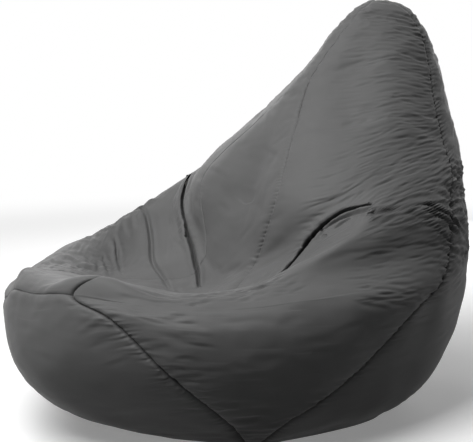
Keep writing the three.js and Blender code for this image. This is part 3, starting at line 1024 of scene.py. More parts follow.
@dataclass(frozen=True)
class CoverFolds:
    """Every fold of the cover, and the order in which they are pressed in."""

    creases: tuple[Crease, ...] = (
        # Where the backrest meets the right arm: the deepest fold, from the arm's top.
        Crease(
            ((-2.95, 8.05), (-2.73, 8.1), (-2.4, 8.14), (-1.84, 8.24), (-1.55, 8.13), (-1.25, 8.03),
             (-0.86, 7.93), (-0.5, 7.88), (-0.1, 7.77)),
            depth=40, half_width=5.6, lip=4.0, gather=26, fullness=3.0, taper=0.35,
            inward=(-0.79, 0.58, -0.2),
        ),
        # Where the backrest meets the left arm.
        Crease(
            ((1.96, 6.9), (2.0, 7.25), (2.04, 7.55), (2.08, 7.8), (2.11, 8.0), (2.16, 8.25), (2.25, 8.36),
             (2.39, 8.42), (2.56, 8.41), (2.72, 8.3), (2.91, 8.16), (3.0, 8.06)),
            depth=40, half_width=5.2, lip=4.0, gather=26, fullness=3.0, taper=0.45,
            inward=(-0.7, 0.5, -0.5),
        ),
        Crease(
            ((2.31, 8.0), (2.39, 8.25), (2.61, 8.22), (2.84, 8.06), (3.08, 7.72), (3.33, 7.12)),
            depth=9, half_width=5, lip=3,
        ),
        Crease(((2.52, 8.05), (2.73, 8.06), (3.11, 7.52), (3.38, 6.92)), depth=7, half_width=5, lip=2.5),
        Crease(((2.36, 7.64), (2.62, 7.45), (2.92, 7.11)), depth=2.5, half_width=7, lip=1.2),
        # The right arm's inner wall.
        Crease(
            ((-3.1, 6.1), (-2.97, 6.28), (-2.62, 6.98), (-2.36, 7.2), (-2.09, 7.31), (-1.34, 7.44),
             (-0.8, 7.5), (-0.3, 7.5)),
            depth=7, half_width=7, lip=1.5, taper=0.3,
        ),
        Crease(((-2.4, 6.4), (-2.31, 6.5), (-2.16, 6.62), (-1.77, 6.84), (-1.23, 7.05)),
               depth=5, half_width=4.5, lip=1.2, taper=0.4),
        Crease(((-2.15, 6.4), (-1.69, 6.66), (-1.19, 6.88)), depth=2.5, half_width=4, lip=0.6),
        Crease(((-1.91, 6.41), (-1.42, 6.67), (-1.1, 6.82)), depth=2, half_width=4, lip=0.6),
        # The pinch across the left rear seam.
        Crease(((3.6, 6.85), (3.69, 6.62), (3.8, 6.28), (3.98, 5.83), (4.11, 5.52), (4.3, 5.12)),
               depth=16, half_width=4.2, lip=2.5),
        Crease(((3.62, 6.6), (3.75, 6.2), (3.89, 5.81), (4.12, 5.2)), depth=12, half_width=3.8, lip=2),
        Crease(((3.64, 6.2), (3.78, 5.72), (3.92, 5.31), (4.14, 4.8)), depth=9, half_width=3.6, lip=2),
    )

    puckers: tuple[SeamPuckers, ...] = (
        SeamPuckers(
            Line.REAR_SEAM,
            ((0, 0.4), (1, 0.9), (2, 1.5), (3, 1.4), (4, 2.0), (5, 2.6), (6, 2.6), (7, 1.8),
             (8, 1.7), (10, 1.7), (11, 1.2), (12.5, 0.7), (14, 0.2)),
        ),
        SeamPuckers(
            Line.FRONT_SEAM,
            ((0, 0.4), (1, 1.0), (2, 1.6), (3, 1.4), (3.6, 0.8), (4, 0.3), (7, 0.2)),
            length=(8.0, 34.0),
        ),
        SeamPuckers(
            Line.FRONT_SEAM,
            ((7, 0.0), (7.6, 1.9), (9, 1.7), (10, 1.3), (11, 0.6), (14, 0.3)),
            spacing=8.0, length=(7.0, 13.0), width=(1.6, 2.6), rear_share=0.35, sides=(Side.LEFT,),
        ),
        SeamPuckers(
            Line.FRONT_SEAM, ((7, 0.0), (9, 0.2), (14, 0.3)), length=(7.0, 13.0), sides=(Side.RIGHT,)
        ),
        SeamPuckers(
            Line.BACK_CENTRE, ((0, 0.5), (1, 0.6), (1.5, 0.2), (6, 0.2), (7, 0.9), (10, 0.9), (14, 0.3)),
            sides=(Side.LEFT,),
        ),
    )

    # How deep each front seam's groove is, as (level, share) pairs: on the sitter's right it is
    # pulled flat inside the seat.
    front_seam: dict[Side, tuple[tuple[float, float], ...]] = field(
        default_factory=lambda: {
            Side.LEFT: ((0, 1), (7, 1), (7.6, 0.6), (14, 0.5)),
            Side.RIGHT: ((0, 1), (4.2, 1), (4.8, 0.1), (12, 0.1), (13, 0.5), (14, 0.5)),
        }
    )

    fields: tuple[WrinkleField, ...] = (
        # The upper side panels: long shallow wrinkles that run round the bag.
        WrinkleField((1.9, 4.0), (7.6, 12.6), 620, (-9, 9), (30, 120), (2.3, 3.6), (0.25, 0.8)),
        WrinkleField((3.0, 4.0), (7.4, 12.4), 480, (-9, 9), (20, 70), (2.1, 3.3), (0.3, 0.95)),
        WrinkleField((-4.0, -1.9), (7.6, 12.6), 560, (-9, 9), (30, 120), (2.3, 3.6), (0.25, 0.8)),
        # Beside the rear seams, low and high.
        WrinkleField((3.2, 4.5), (3.4, 7.5), 340, (-22, 12), (25, 90), (2.3, 3.8), (0.5, 1.5)),
        WrinkleField((-4.5, -3.2), (3.4, 7.5), 340, (-22, 22), (25, 90), (2.3, 3.8), (0.5, 1.5)),
        WrinkleField((3.5, 4.3), (5.2, 7.0), 90, (-38, -8), (25, 60), (2.2, 3.2), (1.0, 2.6)),
        WrinkleField((3.9, 4.6), (4.2, 7.6), 220, (-50, -15), (25, 60), (2.4, 3.6), (1.0, 2.6)),
        # The back.
        WrinkleField((4.1, 7.9), (7.5, 12.5), 240, (-15, 15), (40, 140), (3.5, 7), (0.3, 1.0)),
        WrinkleField((4.1, 7.9), (0.3, 7.0), 160, (-25, 25), (50, 160), (5, 9), (0.3, 1.2)),
        # The right arm's top, where the cloth is slack.
        WrinkleField((-3.1, -1.3), (4.9, 6.7), 260, (20, 70), (25, 80), (2.4, 3.8), (0.5, 1.6)),
        # Beside the seams that slant down the front.
        WrinkleField((0.7, 1.9), (1.2, 3.6), 90, (-20, 20), (30, 90), (3, 6), (0.4, 1.2)),
        WrinkleField((-1.9, -0.7), (1.2, 3.6), 90, (-20, 20), (30, 90), (3, 6), (0.4, 1.2)),
        # The left arm's inner edge, seen as small scallops.
        WrinkleField((1.5, 2.8), (4.4, 5.4), 80, (-20, 20), (20, 60), (3, 5), (0.5, 1.5)),
        WrinkleField((1.2, 2.3), (6.4, 7.8), 70, (50, 120), (15, 40), (3, 5), (0.5, 1.4)),
        WrinkleField((1.8, 2.6), (5.2, 6.6), 80, (-25, 25), (15, 40), (2.4, 3.6), (0.8, 2.2)),
        # The belly and the front, nearly smooth.
        WrinkleField((1.2, 3.9), (0.4, 4.5), 90, (-20, 20), (60, 160), (6, 12), (0.3, 1.0)),
        WrinkleField((-3.9, -1.2), (0.4, 4.5), 90, (-20, 20), (60, 160), (6, 12), (0.3, 1.0)),
        WrinkleField((-0.9, 0.9), (0.3, 3.8), 50, (-40, 40), (60, 160), (7, 14), (0.3, 1.0)),
        # The seat and the backrest's middle.
        WrinkleField((-1.0, 1.0), (4.3, 12.0), 110, (-60, 60), (40, 130), (5, 10), (0.2, 0.8)),
        # The crown.
        WrinkleField((-6.0, 6.0), (12.0, 13.6), 110, (-70, 70), (15, 50), (3, 6), (0.3, 0.9)),
    )

    def press_into(self, relief: Relief) -> None:
        """Presses every fold into the grid.

        Args:
            relief: what moves the grid's points.
        """
        for crease in self.creases:
            if crease.gather:
                relief.ease(crease)
                relief.gather(crease)
        relief.measure()
        relief.ripple(waves=40, wavelength=(70, 260), height=1.5)
        relief.ripple(waves=60, wavelength=(18, 50), height=0.2)
        for wrinkles in self.fields:
            relief.scatter(wrinkles)
        for puckers in self.puckers:
            for side in puckers.sides:
                relief.pucker(puckers, side)
        self._long_seams(relief)
        self._cross_seam(relief)
        for crease in self.creases:
            relief.press(crease)

    def _long_seams(self, relief: Relief) -> None:
        """Draws the grooves of the seams that run up the bag."""
        grid = relief.grid
        even = np.ones(len(grid.rows))
        fade_in, end, fade_out = 0.6, 12.5, 3  # levels
        lower_end = smooth_step((grid.rows - Level.MOUTH_BOTTOM) / fade_in)
        backrest = lower_end * smooth_step((end - grid.rows) / fade_out)
        for side in Side:
            relief.groove(grid.column_of(side * Line.REAR_SEAM), even, depth=4.5, width=3.0, crown=2.2)
            front = grid.column_of(side * Line.FRONT_SEAM)
            levels, strengths = np.array(self.front_seam[side]).T
            strength = np.interp(grid.rows, levels, strengths)
            relief.groove(front, strength, depth=4.5, width=3.0, crown=2.0)
            relief.step(front, side, backrest * strength)
        relief.groove(grid.column_of(Line.BACK_CENTRE), even, depth=3.5, width=3.0, crown=1.2)

    def _cross_seam(self, relief: Relief) -> None:
        """Draws the groove of the seam across the front, which also crowns the cloth above it."""
        grid = relief.grid
        seam_row = grid.row_of(Level.FRONT_CROSS_SEAM)
        distance = np.linalg.norm(grid.places - grid.places[seam_row], axis=2) / MM
        reach = np.abs(signed_place(grid.columns))
        fade = 0.06
        inside = smooth_step((Line.FRONT_SEAM + fade / 2 - reach) / fade)
        depth, width = 4.0, 3.0
        crown, crown_place, crown_width = 1.5, 14.0, 12.0
        swell = crown * np.exp(-(((distance - crown_place) / crown_width) ** 2))
        relief.height += (swell - depth * np.exp(-distance / width)) * inside[None] * MM


# ---- Cover ----


@dataclass(frozen=True)
class ZipSlot:
    """The gap between the rear panels in which the zip is sewn, in millimetres."""

    half_width: float = 6.0
    past_ends: float = 5.0
    reach: float = 11.5  # how far from the middle the cloth is moved aside

    def width_at(self, heights: Points) -> Points:
        """Half the gap's width at some heights, in metres; its ends are round."""
        low, high = ZIP_ARC.ends(self.past_ends)
        inside = np.minimum(heights / MM - low, high - heights / MM)
        share = 1 - np.clip(inside / self.half_width, 0, 1)
        return self.half_width * np.sqrt(1 - share**2) * MM

    def part(self, cloth: Points, side: Side) -> Points:
        """Moves a rear panel's edge aside from the middle.

        Args:
            cloth: the panel's points.
            side: which rear panel it is.

        Returns:
            The moved points.
        """
        moved = cloth.copy()
        aside = np.abs(cloth[..., 0])
        width = self.width_at(cloth[..., 2])
        squeezed = width + aside * (1 - width / (self.reach * MM))
        moved[..., 0] = side * np.where(aside < self.reach * MM, squeezed, aside)
        return moved


class PanelForm(Enum):
    """How a panel is finished at its edges."""

    SEWN_ALL_ROUND = "sewn all round"
    LEFT_OF_ZIP = "a rear panel on the sitter's left"
    RIGHT_OF_ZIP = "a rear panel on the sitter's right"


@dataclass(frozen=True)
class SewnPanel:
    """One piece of the cover between two seams, with the allowance turned in behind them."""

    node: str
    around: tuple[float, float]  # the seams down its two sides, as places round the bag
    level: tuple[float, float]  # where it starts and ends
    flat: tuple[float, float]  # the smallest rectangle it is cut from, in metres
    area: float  # square metres
    form: PanelForm = PanelForm.SEWN_ALL_ROUND
    allowance: float = 4.5  # mm of cloth turned straight in along each seam

    def build(self, grid: CoverGrid, normals: Points) -> bpy.types.Object:
        """Cuts the panel out of the cover's grid.

        Args:
            grid: the folded cover.
            normals: the directions out of it.

        Returns:
            The panel, riding on the bag and standing for its CAD node.
        """
        first = grid.column_of(self.around[0])
        count = (grid.column_of(self.around[1]) - first) % grid.shape[1] + 1
        columns = (first + np.arange(count)) % grid.shape[1]
        rows = np.arange(grid.row_of(self.level[0]), grid.row_of(self.level[1]) + 1)
        window = np.ix_(rows, columns)
        cloth = self._open_for_zip(grid.places[window])
        cloth = self._turn_in(cloth, -normals[window] * self.allowance * MM)
        panel = new_object(self.node, cloth.reshape(-1, 3), grid_faces(*cloth.shape[:2]))
        self._sharpen_folds(panel.data, cloth.shape[1])
        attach(panel, "bag")
        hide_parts(self.node)
        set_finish(panel, "cover_cloth")
        return panel

    def _open_for_zip(self, cloth: Points) -> Points:
        """Parts a rear panel's edge from the middle of the back; other panels stay as they are."""
        if self.form is PanelForm.SEWN_ALL_ROUND:
            return cloth
        side = Side.LEFT if self.form is PanelForm.LEFT_OF_ZIP else Side.RIGHT
        return ZipSlot().part(cloth, side)

    def _sharpen_folds(self, mesh: bpy.types.Mesh, columns: int) -> None:
        """Keeps the shading of the cloth apart from its turned-in allowance.

        Args:
            mesh: the panel's mesh.
            columns: how many columns of points it has, with the allowances'.
        """
        ends = np.empty(len(mesh.edges) * 2, int)
        mesh.edges.foreach_get("vertices", ends)
        column = ends.reshape(-1, 2) % columns
        along = column[:, 0] == column[:, 1]
        fold = along & np.isin(column[:, 0], (1, columns - 2))
        sharp = mesh.attributes.new("sharp_edge", "BOOLEAN", "EDGE")
        sharp.data.foreach_set("value", fold)

    def _turn_in(self, cloth: Points, inward: Points) -> Points:
        """Adds the seam allowance down both sides.

        Args:
            cloth: the panel's points.
            inward: the step into the bag at each.

        Returns:
            The points with one more column on each side.
        """
        first = cloth[:, :1] + inward[:, :1]
        last = cloth[:, -1:] + inward[:, -1:]
        return np.concatenate([first, cloth, last], axis=1)


@dataclass(frozen=True)
class Cover:
    """The sewn cover: six shaped panels and the flat base."""

    panels: tuple[SewnPanel, ...] = (
        SewnPanel("front_panel", (-1, 1), (0, 4), (0.64, 0.47), 0.28),
        SewnPanel("seat_back_panel", (-1, 1), (4, TOP_LEVEL), (0.36, 1.32), 0.25),
        SewnPanel("side_panel_left", (1, 4), (0, TOP_LEVEL), (0.66, 1.75), 0.52),
        SewnPanel("side_panel_right", (-4, -1), (0, TOP_LEVEL), (0.66, 1.75), 0.52),
        SewnPanel("rear_panel_left", (4, 6), (0, TOP_LEVEL), (0.76, 1.30), 0.48, PanelForm.LEFT_OF_ZIP),
        SewnPanel("rear_panel_right", (6, -4), (0, TOP_LEVEL), (0.76, 1.30), 0.48, PanelForm.RIGHT_OF_ZIP),
    )
    base_flat: tuple[float, float] = (0.55, 0.61)
    base_area: float = 0.26
    base_inset: float = 1.2  # mm inside the side panels' lower edges
    base_height: float = 0.4  # mm above the floor
    base_rings: int = 24  # rings of points inside its edge
    base_ring_shares: tuple[float, float] = (0.985, 0.05)  # of the way out: the first and the last ring

    def build(self, grid: CoverGrid) -> list[bpy.types.Object]:
        """Builds the upper panels."""
        normals = grid.normals()
        return [panel.build(grid, normals) for panel in self.panels]

    def build_base(self, grid: CoverGrid) -> bpy.types.Object:
        """Builds the flat panel that lies on the floor.

        Args:
            grid: the folded cover, whose first row is the base's edge.

        Returns:
            The base, riding on the bag and standing for its CAD node.
        """
        edge = grid.places[0].copy()
        centre = edge.mean(axis=0)
        edge -= unit(edge - centre) * self.base_inset * MM
        shares = np.concatenate([[1.0], np.linspace(*self.base_ring_shares, self.base_rings)])
        rings = centre + (edge - centre) * shares[:, None, None]
        rings[..., 2] = self.base_height * MM
        faces = grid_faces(*rings.shape[:2], loop=True)
        centre[2] = self.base_height * MM
        points = np.concatenate([rings.reshape(-1, 3), centre[None]])
        last = (len(shares) - 1) * len(edge)
        fan = [(last + i, last + (i + 1) % len(edge), len(points) - 1) for i in range(len(edge))]
        base = new_object("base_panel", points, [*faces.tolist(), *fan])
        base.data.flip_normals()
        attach(base, "bag")
        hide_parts("base_panel")
        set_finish(base, "base_cloth")
        return base


# ---- Zip ----


@dataclass(frozen=True)
class ZipCoil:
    """One side of the zip's coil: a monofilament wound into loops that catch the other side's.

    Sizes are in millimetres. Heights are measured from the cover's outer face.
    """

    node: str
    side: Side
    pitch: float = 1.35
    middle_depth: float = 1.5
    reach: float = 3.0  # from the middle of the zip to the loop's outer bend
    catch: float = 0.8  # how far a loop reaches past the middle
    half_height: float = 0.85
    half_width: float = 0.29
    ring_points: int = 6

    def build(self, shift: float) -> bpy.types.Object:
        """Winds the coil along the zip's circle.

        Args:
            shift: how far the frame moves the pattern along Y, in metres.

        Returns:
            The coil, riding on the bag and standing for its CAD node.
        """
        loop, faces = self._loop()
        step = math.degrees(self.pitch / ZIP_ARC.radius)
        start = ZIP_ARC.bottom_degrees + step * (1.0 if self.side is Side.LEFT else 1.5)
        angles = np.radians(np.arange(start, ZIP_ARC.top_degrees - step, step))
        out = np.stack([0 * angles, np.cos(angles), np.sin(angles)], axis=-1)
        along = np.stack([0 * angles, -np.sin(angles), np.cos(angles)], axis=-1)
        radius = ZIP_ARC.radius - self.middle_depth + loop[:, 2]
        points = radius[None, :, None] * out[:, None] + loop[None, :, 1, None] * along[:, None]
        points = points + np.array([0.0, ZIP_ARC.centre_y, ZIP_ARC.centre_z])
        points[..., 0] = self.side * loop[None, :, 0]
        points = points.reshape(-1, 3) * MM + np.array([0.0, shift, 0.0])
        starts = np.arange(len(angles)) * len(loop)
        all_faces = (faces[None] + starts[:, None, None]).reshape(-1, 4)
        coil = new_object(self.node, points, all_faces)
        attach(coil, "bag")
        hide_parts(self.node)
        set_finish(coil, "zip_coil")
        return coil

    def _loop(self) -> tuple[Points, Points]:
        """One loop as a rounded bar, in (across, along, out) millimetres, and its faces."""
        stations = np.array([-self.catch, -self.catch + 0.15, 0.5, 1.8, self.reach - 0.3, self.reach])
        swell = np.array([0.35, 1.0, 0.8, 0.8, 1.0, 0.4])
        turn = np.arange(self.ring_points) * 2 * math.pi / self.ring_points
        rings = np.stack(
            [
                np.repeat(stations, self.ring_points),
                np.outer(swell * self.half_width, np.cos(turn)).ravel(),
                np.outer(swell * self.half_height, np.sin(turn)).ravel(),
            ],
            axis=-1,
        )
        return rings, grid_faces(len(stations), self.ring_points, loop=True)


@dataclass(frozen=True)
class StitchRows:
    """The lockstitches that hold the rear panels to the zip's tapes, in millimetres."""

    pitch: float = 3.0
    length: float = 2.4
    radius: float = 0.28
    column_from_edge: int = 3  # which column of the parted cloth the needle follows
    past_ends: float = 4.0
    height: float = 0.23  # of the thread's middle above the cloth
    sunk: float = 0.12  # of its ends below the cloth
    rings: int = 5
    ring_points: int = 6

    def build(self, grid: CoverGrid) -> bpy.types.Object:
        """Sews one row down each side of the slot.

        Args:
            grid: the folded cover.

        Returns:
            All the stitches in one object, riding on the bag.
        """
        pieces = [self._row(grid, side) for side in Side]
        points = np.concatenate(pieces)
        faces = grid_faces(self.rings, self.ring_points, loop=True)
        starts = np.arange(0, len(points), self.rings * self.ring_points)
        all_faces = (faces[None] + starts[:, None, None]).reshape(-1, 4)
        thread = new_object("zip_stitching", points, all_faces)
        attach(thread, "bag")
        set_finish(thread, "cover_cloth")
        return thread

    def _row(self, grid: CoverGrid, side: Side) -> Points:
        """The points of one row of stitches."""
        middle = grid.column_of(Line.BACK_CENTRE)
        column = middle - side * self.column_from_edge
        line = ZipSlot().part(grid.places[:, column], side)
        low, high = ZIP_ARC.ends(self.past_ends)
        line = line[(line[:, 2] > low * MM) & (line[:, 2] < high * MM)]
        run = np.concatenate([[0], np.cumsum(np.linalg.norm(np.diff(line, axis=0), axis=1))])
        starts = np.arange(0, run[-1] - self.pitch * MM, self.pitch * MM)
        return np.concatenate([self._stitch(line, run, start) for start in starts])

    def _stitch(self, line: Points, run: Points, start: float) -> Points:
        """Shapes one stitch, a short thread that rises out of the cloth and dips back into it.

        Args:
            line: points along the row.
            run: how far along the row each of them is.
            start: where the stitch starts along the row.

        Returns:
            The stitch's points, ring by ring.
        """
        shares = np.linspace(0, 1, self.rings)
        places = start + shares * self.length * MM
        spine = np.stack([np.interp(places, run, line[:, axis]) for axis in range(3)], axis=-1)
        along = unit(spine[-1] - spine[0])
        across = np.array([1.0, 0.0, 0.0])
        out = np.cross(along, across)
        out = out if out[1] > 0 else -out
        rise = (np.sin(np.pi * shares) * (self.height + self.sunk) - self.sunk) * MM
        spine = spine + rise[:, None] * out
        turn = np.arange(self.ring_points) * 2 * math.pi / self.ring_points
        ring = (np.cos(turn)[:, None] * across + np.sin(turn)[:, None] * out) * self.radius * MM
        return (spine[:, None] + ring[None]).reshape(-1, 3)


@dataclass(frozen=True)
class Zip:
    """The zip up the back: coils, slider and the stitches beside it."""

    coils: tuple[ZipCoil, ...] = (
        ZipCoil("zip_coil_left", Side.LEFT),
        ZipCoil("zip_coil_right", Side.RIGHT),
    )
    slider_edge: float = 0.45  # mm of rounding on the slider's edges

    def build_coils(self, shift: float) -> list[bpy.types.Object]:
        """Winds both coils."""
        return [coil.build(shift) for coil in self.coils]

    def build_slider(self, node: bpy.types.Object) -> bpy.types.Object:
        """Makes the cast slider from its CAD node, with its edges rounded.

        Args:
            node: the slider's CAD node.

        Returns:
            The slider, riding on its own body.
        """
        mesh = node.data.copy()
        slider = bpy.data.objects.new("zip_slider_cast", mesh)
        bpy.context.scene.collection.objects.link(slider)
        weld = slider.modifiers.new("weld", "WELD")
        weld.merge_threshold = 0.01 * MM
        bevel = slider.modifiers.new("bevel", "BEVEL")
        bevel.width = self.slider_edge * MM
        bevel.segments = 3
        bevel.limit_method = "ANGLE"
        mesh.polygons.foreach_set("use_smooth", [True] * len(mesh.polygons))
        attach(slider, "slider")
        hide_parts(node.name)
        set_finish(slider, "zip_metal")
        return slider


# ---- What is inside ----


@dataclass(frozen=True)
class InnerLayer:
    """A layer under the cover that follows its folds without creasing as sharply."""

    node: str
    depth: float  # mm below the cover
    step: int  # it keeps every so many rows and columns of the grid
    widening: int = 12  # grid steps by which it widens each fold
    rounding: int = 4  # passes that round the widened folds
    floor_share: float = 0.6  # of its depth, how far it stays above the floor

    def outline(self, relief: Relief) -> Points:
        """Finds the layer's points.

        Args:
            relief: the cover's folds before they move the grid.

        Returns:
            The points, shape (rows, columns, 3).
        """
        lowest = relief.height - np.linalg.norm(relief.tuck, axis=2)
        for _ in range(self.widening):
            lowest = with_neighbours(lowest).min(axis=0)
        for _ in range(self.rounding):
            lowest = np.minimum(lowest, with_neighbours(lowest).mean(axis=0))
        offset = np.minimum(lowest, 0) - self.depth * MM
        places = relief.smooth_places + relief.smooth_normals * offset[..., None]
        places[..., 2] = np.maximum(places[..., 2], self.floor_share * self.depth * MM)
        rows = np.unique(np.append(np.arange(0, len(places), self.step), len(places) - 1))
        return places[rows][:, :: self.step]

    def close(self, name: str, rings: Points, faces: Points) -> bpy.types.Object:
        """Closes the layer's floor and crown.

        Args:
            name: the object's name.
            rings: the layer's points.
            faces: the faces between them.

        Returns:
            The object, riding on the bag.
        """
        rows, columns = rings.shape[:2]
        caps = rings[[0, -1]].mean(axis=1)
        points = np.concatenate([rings.reshape(-1, 3), caps])
        floor = [((i + 1) % columns, i, rows * columns) for i in range(columns)]
        top = (rows - 1) * columns
        crown = [(top + i, top + (i + 1) % columns, rows * columns + 1) for i in range(columns)]
        made = new_object(name, points, [*faces.tolist(), *floor, *crown])
        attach(made, "bag")
        return made


@dataclass(frozen=True)
class Liner(InnerLayer):
    """The thin bag that holds the beads, with a mouth closed by hook-and-loop strips."""

    node: str = "inner_liner"
    depth: float = 5.2
    step: int = 2
    mouth_reach: float = 0.42  # of a stretch, to each side of the back's middle
    area: float = 2.62
    flat: tuple[float, float] = (1.75, 1.60)
    thickness: float = 0.3  # mm

    def build(self, relief: Relief) -> bpy.types.Object:
        """Builds the liner from the cover's folds, with its mouth left open."""
        rings = self.outline(relief)
        rows, columns = rings.shape[:2]
        faces = grid_faces(rows, columns, loop=True).reshape(rows - 1, columns, 4)
        levels = relief.grid.rows[:: self.step][: rows - 1]
        around = relief.grid.columns[:: self.step]
        past_bottom = (levels >= Level.MOUTH_BOTTOM) & (levels < Level.MOUTH_TOP)
        open_columns = np.abs(around - Line.BACK_CENTRE) < self.mouth_reach
        kept = ~(past_bottom[:, None] & open_columns[None, :])
        liner = self.close(self.node, rings, faces[kept])
        cloth = liner.modifiers.new("cloth thickness", "SOLIDIFY")
        cloth.thickness = self.thickness * MM
        cloth.offset = -1
        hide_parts(self.node)
        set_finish(liner, "liner_cloth")
        return liner


@dataclass(frozen=True)
class BeadFilling(InnerLayer):
    """The beads, seen as one soft mass."""

    node: str = "bean_fill"
    depth: float = 9.0
    step: int = 3
    tightness: float = 0.8

    def build(self, relief: Relief) -> bpy.types.Object:
        """Builds the filling."""
        rings = self.outline(relief)
        filling = self.close(self.node, rings, grid_faces(*rings.shape[:2], loop=True))
        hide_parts(self.node)
        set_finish(filling, "bead_fill")
        return filling


# ---- Finishes ----


def linear(hex_colour: str) -> tuple[float, float, float, float]:
    """Turns an sRGB colour into the linear one that shaders use.

    Args:
        hex_colour: six hexadecimal digits after a hash sign.

    Returns:
        Linear red, green and blue, and an alpha of 1.
    """
    values = [int(hex_colour[start : start + 2], 16) / 255 for start in (1, 3, 5)]
    # The sRGB curve is straight near black and a power above it.
    light = [v / 12.92 if v <= 0.04045 else ((v + 0.055) / 1.055) ** 2.4 for v in values]
    return (*light, 1.0)


def add_node(tree: bpy.types.NodeTree, kind: str, settings: dict, links: dict) -> bpy.types.Node:
    """Adds a shader node.

    Args:
        tree: the material's node tree.
        kind: the node's type name.
        settings: properties by name, and input values by socket name or number.
        links: the socket that feeds each input, by socket name or number.

    Returns:
        The node.
    """
    node = tree.nodes.new(kind)
    for key, value in settings.items():
        if isinstance(key, str) and hasattr(node, key):
            setattr(node, key, value)
        else:
            node.inputs[key].default_value = value
    for key, socket in links.items():
        tree.links.new(socket, node.inputs[key])
    return node


WAVE_LENGTH = 0.314  # of a wave texture at scale 1


@dataclass(frozen=True)
class Finish:
    """What every finish has: a colour that varies between two tones, and a fine relief."""

    name: str
    colour: str
    deep_colour: str
    roughness: float

    def material(self) -> bpy.types.Material:
        """Builds the material."""
        made = bpy.data.materials.new(self.name)
        made.use_nodes = True
        tree = made.node_tree
        shader = tree.nodes["Principled BSDF"]
        place = add_node(tree, "ShaderNodeNewGeometry", {}, {}).outputs["Position"]
        share, bump = self.pattern(tree, place)
        tone = add_node(
            tree, "ShaderNodeMix",
            {"data_type": "RGBA", 6: linear(self.deep_colour), 7: linear(self.colour)},
            {0: share},
        )
        tree.links.new(tone.outputs[2], shader.inputs["Base Color"])
        tree.links.new(bump.outputs["Normal"], shader.inputs["Normal"])
        shader.inputs["Roughness"].default_value = self.roughness
        for socket, value in self.shader_values().items():
            shader.inputs[socket].default_value = value
        return made

    def pattern(
        self, tree: bpy.types.NodeTree, place: bpy.types.NodeSocket
    ) -> tuple[bpy.types.NodeSocket, bpy.types.Node]:
        """Draws the finish's pattern.

        Args:
            tree: the material's node tree.
            place: the socket that gives the point in space.

        Returns:
            The socket that mixes the two tones, and the node that bumps the surface.
        """
        raise NotImplementedError

    def shader_values(self) -> dict[str, float]:
        """The shader's other values, by socket name."""
        return {}


@dataclass(frozen=True)
class SatinPolyester(Finish):
    """Polyester woven from smooth filament and dyed in the piece, as on tents and bean bags.

    The flat filaments give it a soft broad shine that follows each fold, and the dye takes a
    little unevenly, so it is never one flat grey.
    """

    name: str = "satin_polyester_dark_grey"
    colour: str = "#5b5b5b"
    deep_colour: str = "#505050"
    roughness: float = 0.55
    specular: float = 0.17
    sheen: float = 0.08
    sheen_roughness: float = 0.35
    patches_per_metre: float = 9.0  # of darker and lighter dye
    thread_spacing: float = 0.9  # mm: about three real threads, so that the weave can show
    thread_relief: float = 0.15  # mm

    def pattern(
        self, tree: bpy.types.NodeTree, place: bpy.types.NodeSocket
    ) -> tuple[bpy.types.NodeSocket, bpy.types.Node]:
        """Draws patches of dye, and crossed threads as two sets of fine ribs.

        Args:
            tree: the material's node tree.
            place: the socket that gives the point in space.

        Returns:
            The socket that mixes the two tones, and the node that bumps the surface.
        """
        patches = {"Scale": self.patches_per_metre, "Detail": 4.0, "Roughness": 0.55}
        cloud = add_node(tree, "ShaderNodeTexNoise", patches, {"Vector": place})
        scale = WAVE_LENGTH / (self.thread_spacing * MM)
        ribs = [
            add_node(
                tree, "ShaderNodeTexWave",
                {"wave_type": "BANDS", "bands_direction": axis, "Scale": scale},
                {"Vector": place},
            ).outputs["Fac"]
            for axis in ("X", "Z")
        ]
        weave = add_node(tree, "ShaderNodeMath", {"operation": "MULTIPLY"}, {0: ribs[0], 1: ribs[1]})
        depth = {"Strength": 0.25, "Distance": self.thread_relief * MM}
        bump = add_node(tree, "ShaderNodeBump", depth, {"Height": weave.outputs[0]})
        return cloud.outputs["Fac"], bump

    def shader_values(self) -> dict[str, float]:
        """The shine of smooth filament and the faint haze of loose fibres."""
        return {
            "Specular IOR Level": self.specular,
            "Sheen Weight": self.sheen,
            "Sheen Roughness": self.sheen_roughness,
        }


@dataclass(frozen=True)
class GrainedFinish(Finish):
    """A finish with a little uneven tone and a fine grain."""

    grain: float  # mm
    relief: float  # mm
    metallic: float = 0.0

    def pattern(
        self, tree: bpy.types.NodeTree, place: bpy.types.NodeSocket
    ) -> tuple[bpy.types.NodeSocket, bpy.types.Node]:
        """Draws the grain, which gives both the tone and the bumps.

        Args:
            tree: the material's node tree.
            place: the socket that gives the point in space.

        Returns:
            The socket that mixes the two tones, and the node that bumps the surface.
        """
        fineness = {"Scale": 1 / (self.grain * MM), "Detail": 2.0}
        grain = add_node(tree, "ShaderNodeTexNoise", fineness, {"Vector": place}).outputs["Fac"]
        depth = {"Strength": 0.5, "Distance": self.relief * MM}
        return grain, add_node(tree, "ShaderNodeBump", depth, {"Height": grain})

    def shader_values(self) -> dict[str, float]:
        """Whether it is bare metal."""
        return {"Metallic": self.metallic}


# ---- Studio ----


@dataclass(frozen=True)
class SoftBox:
    """A square lamp that points at the chair. Its place is as the camera sees it, in metres."""

    name: str
    right: float
    up: float
    forward: float  # towards the camera
    side: float  # metres
    power: float  # watts


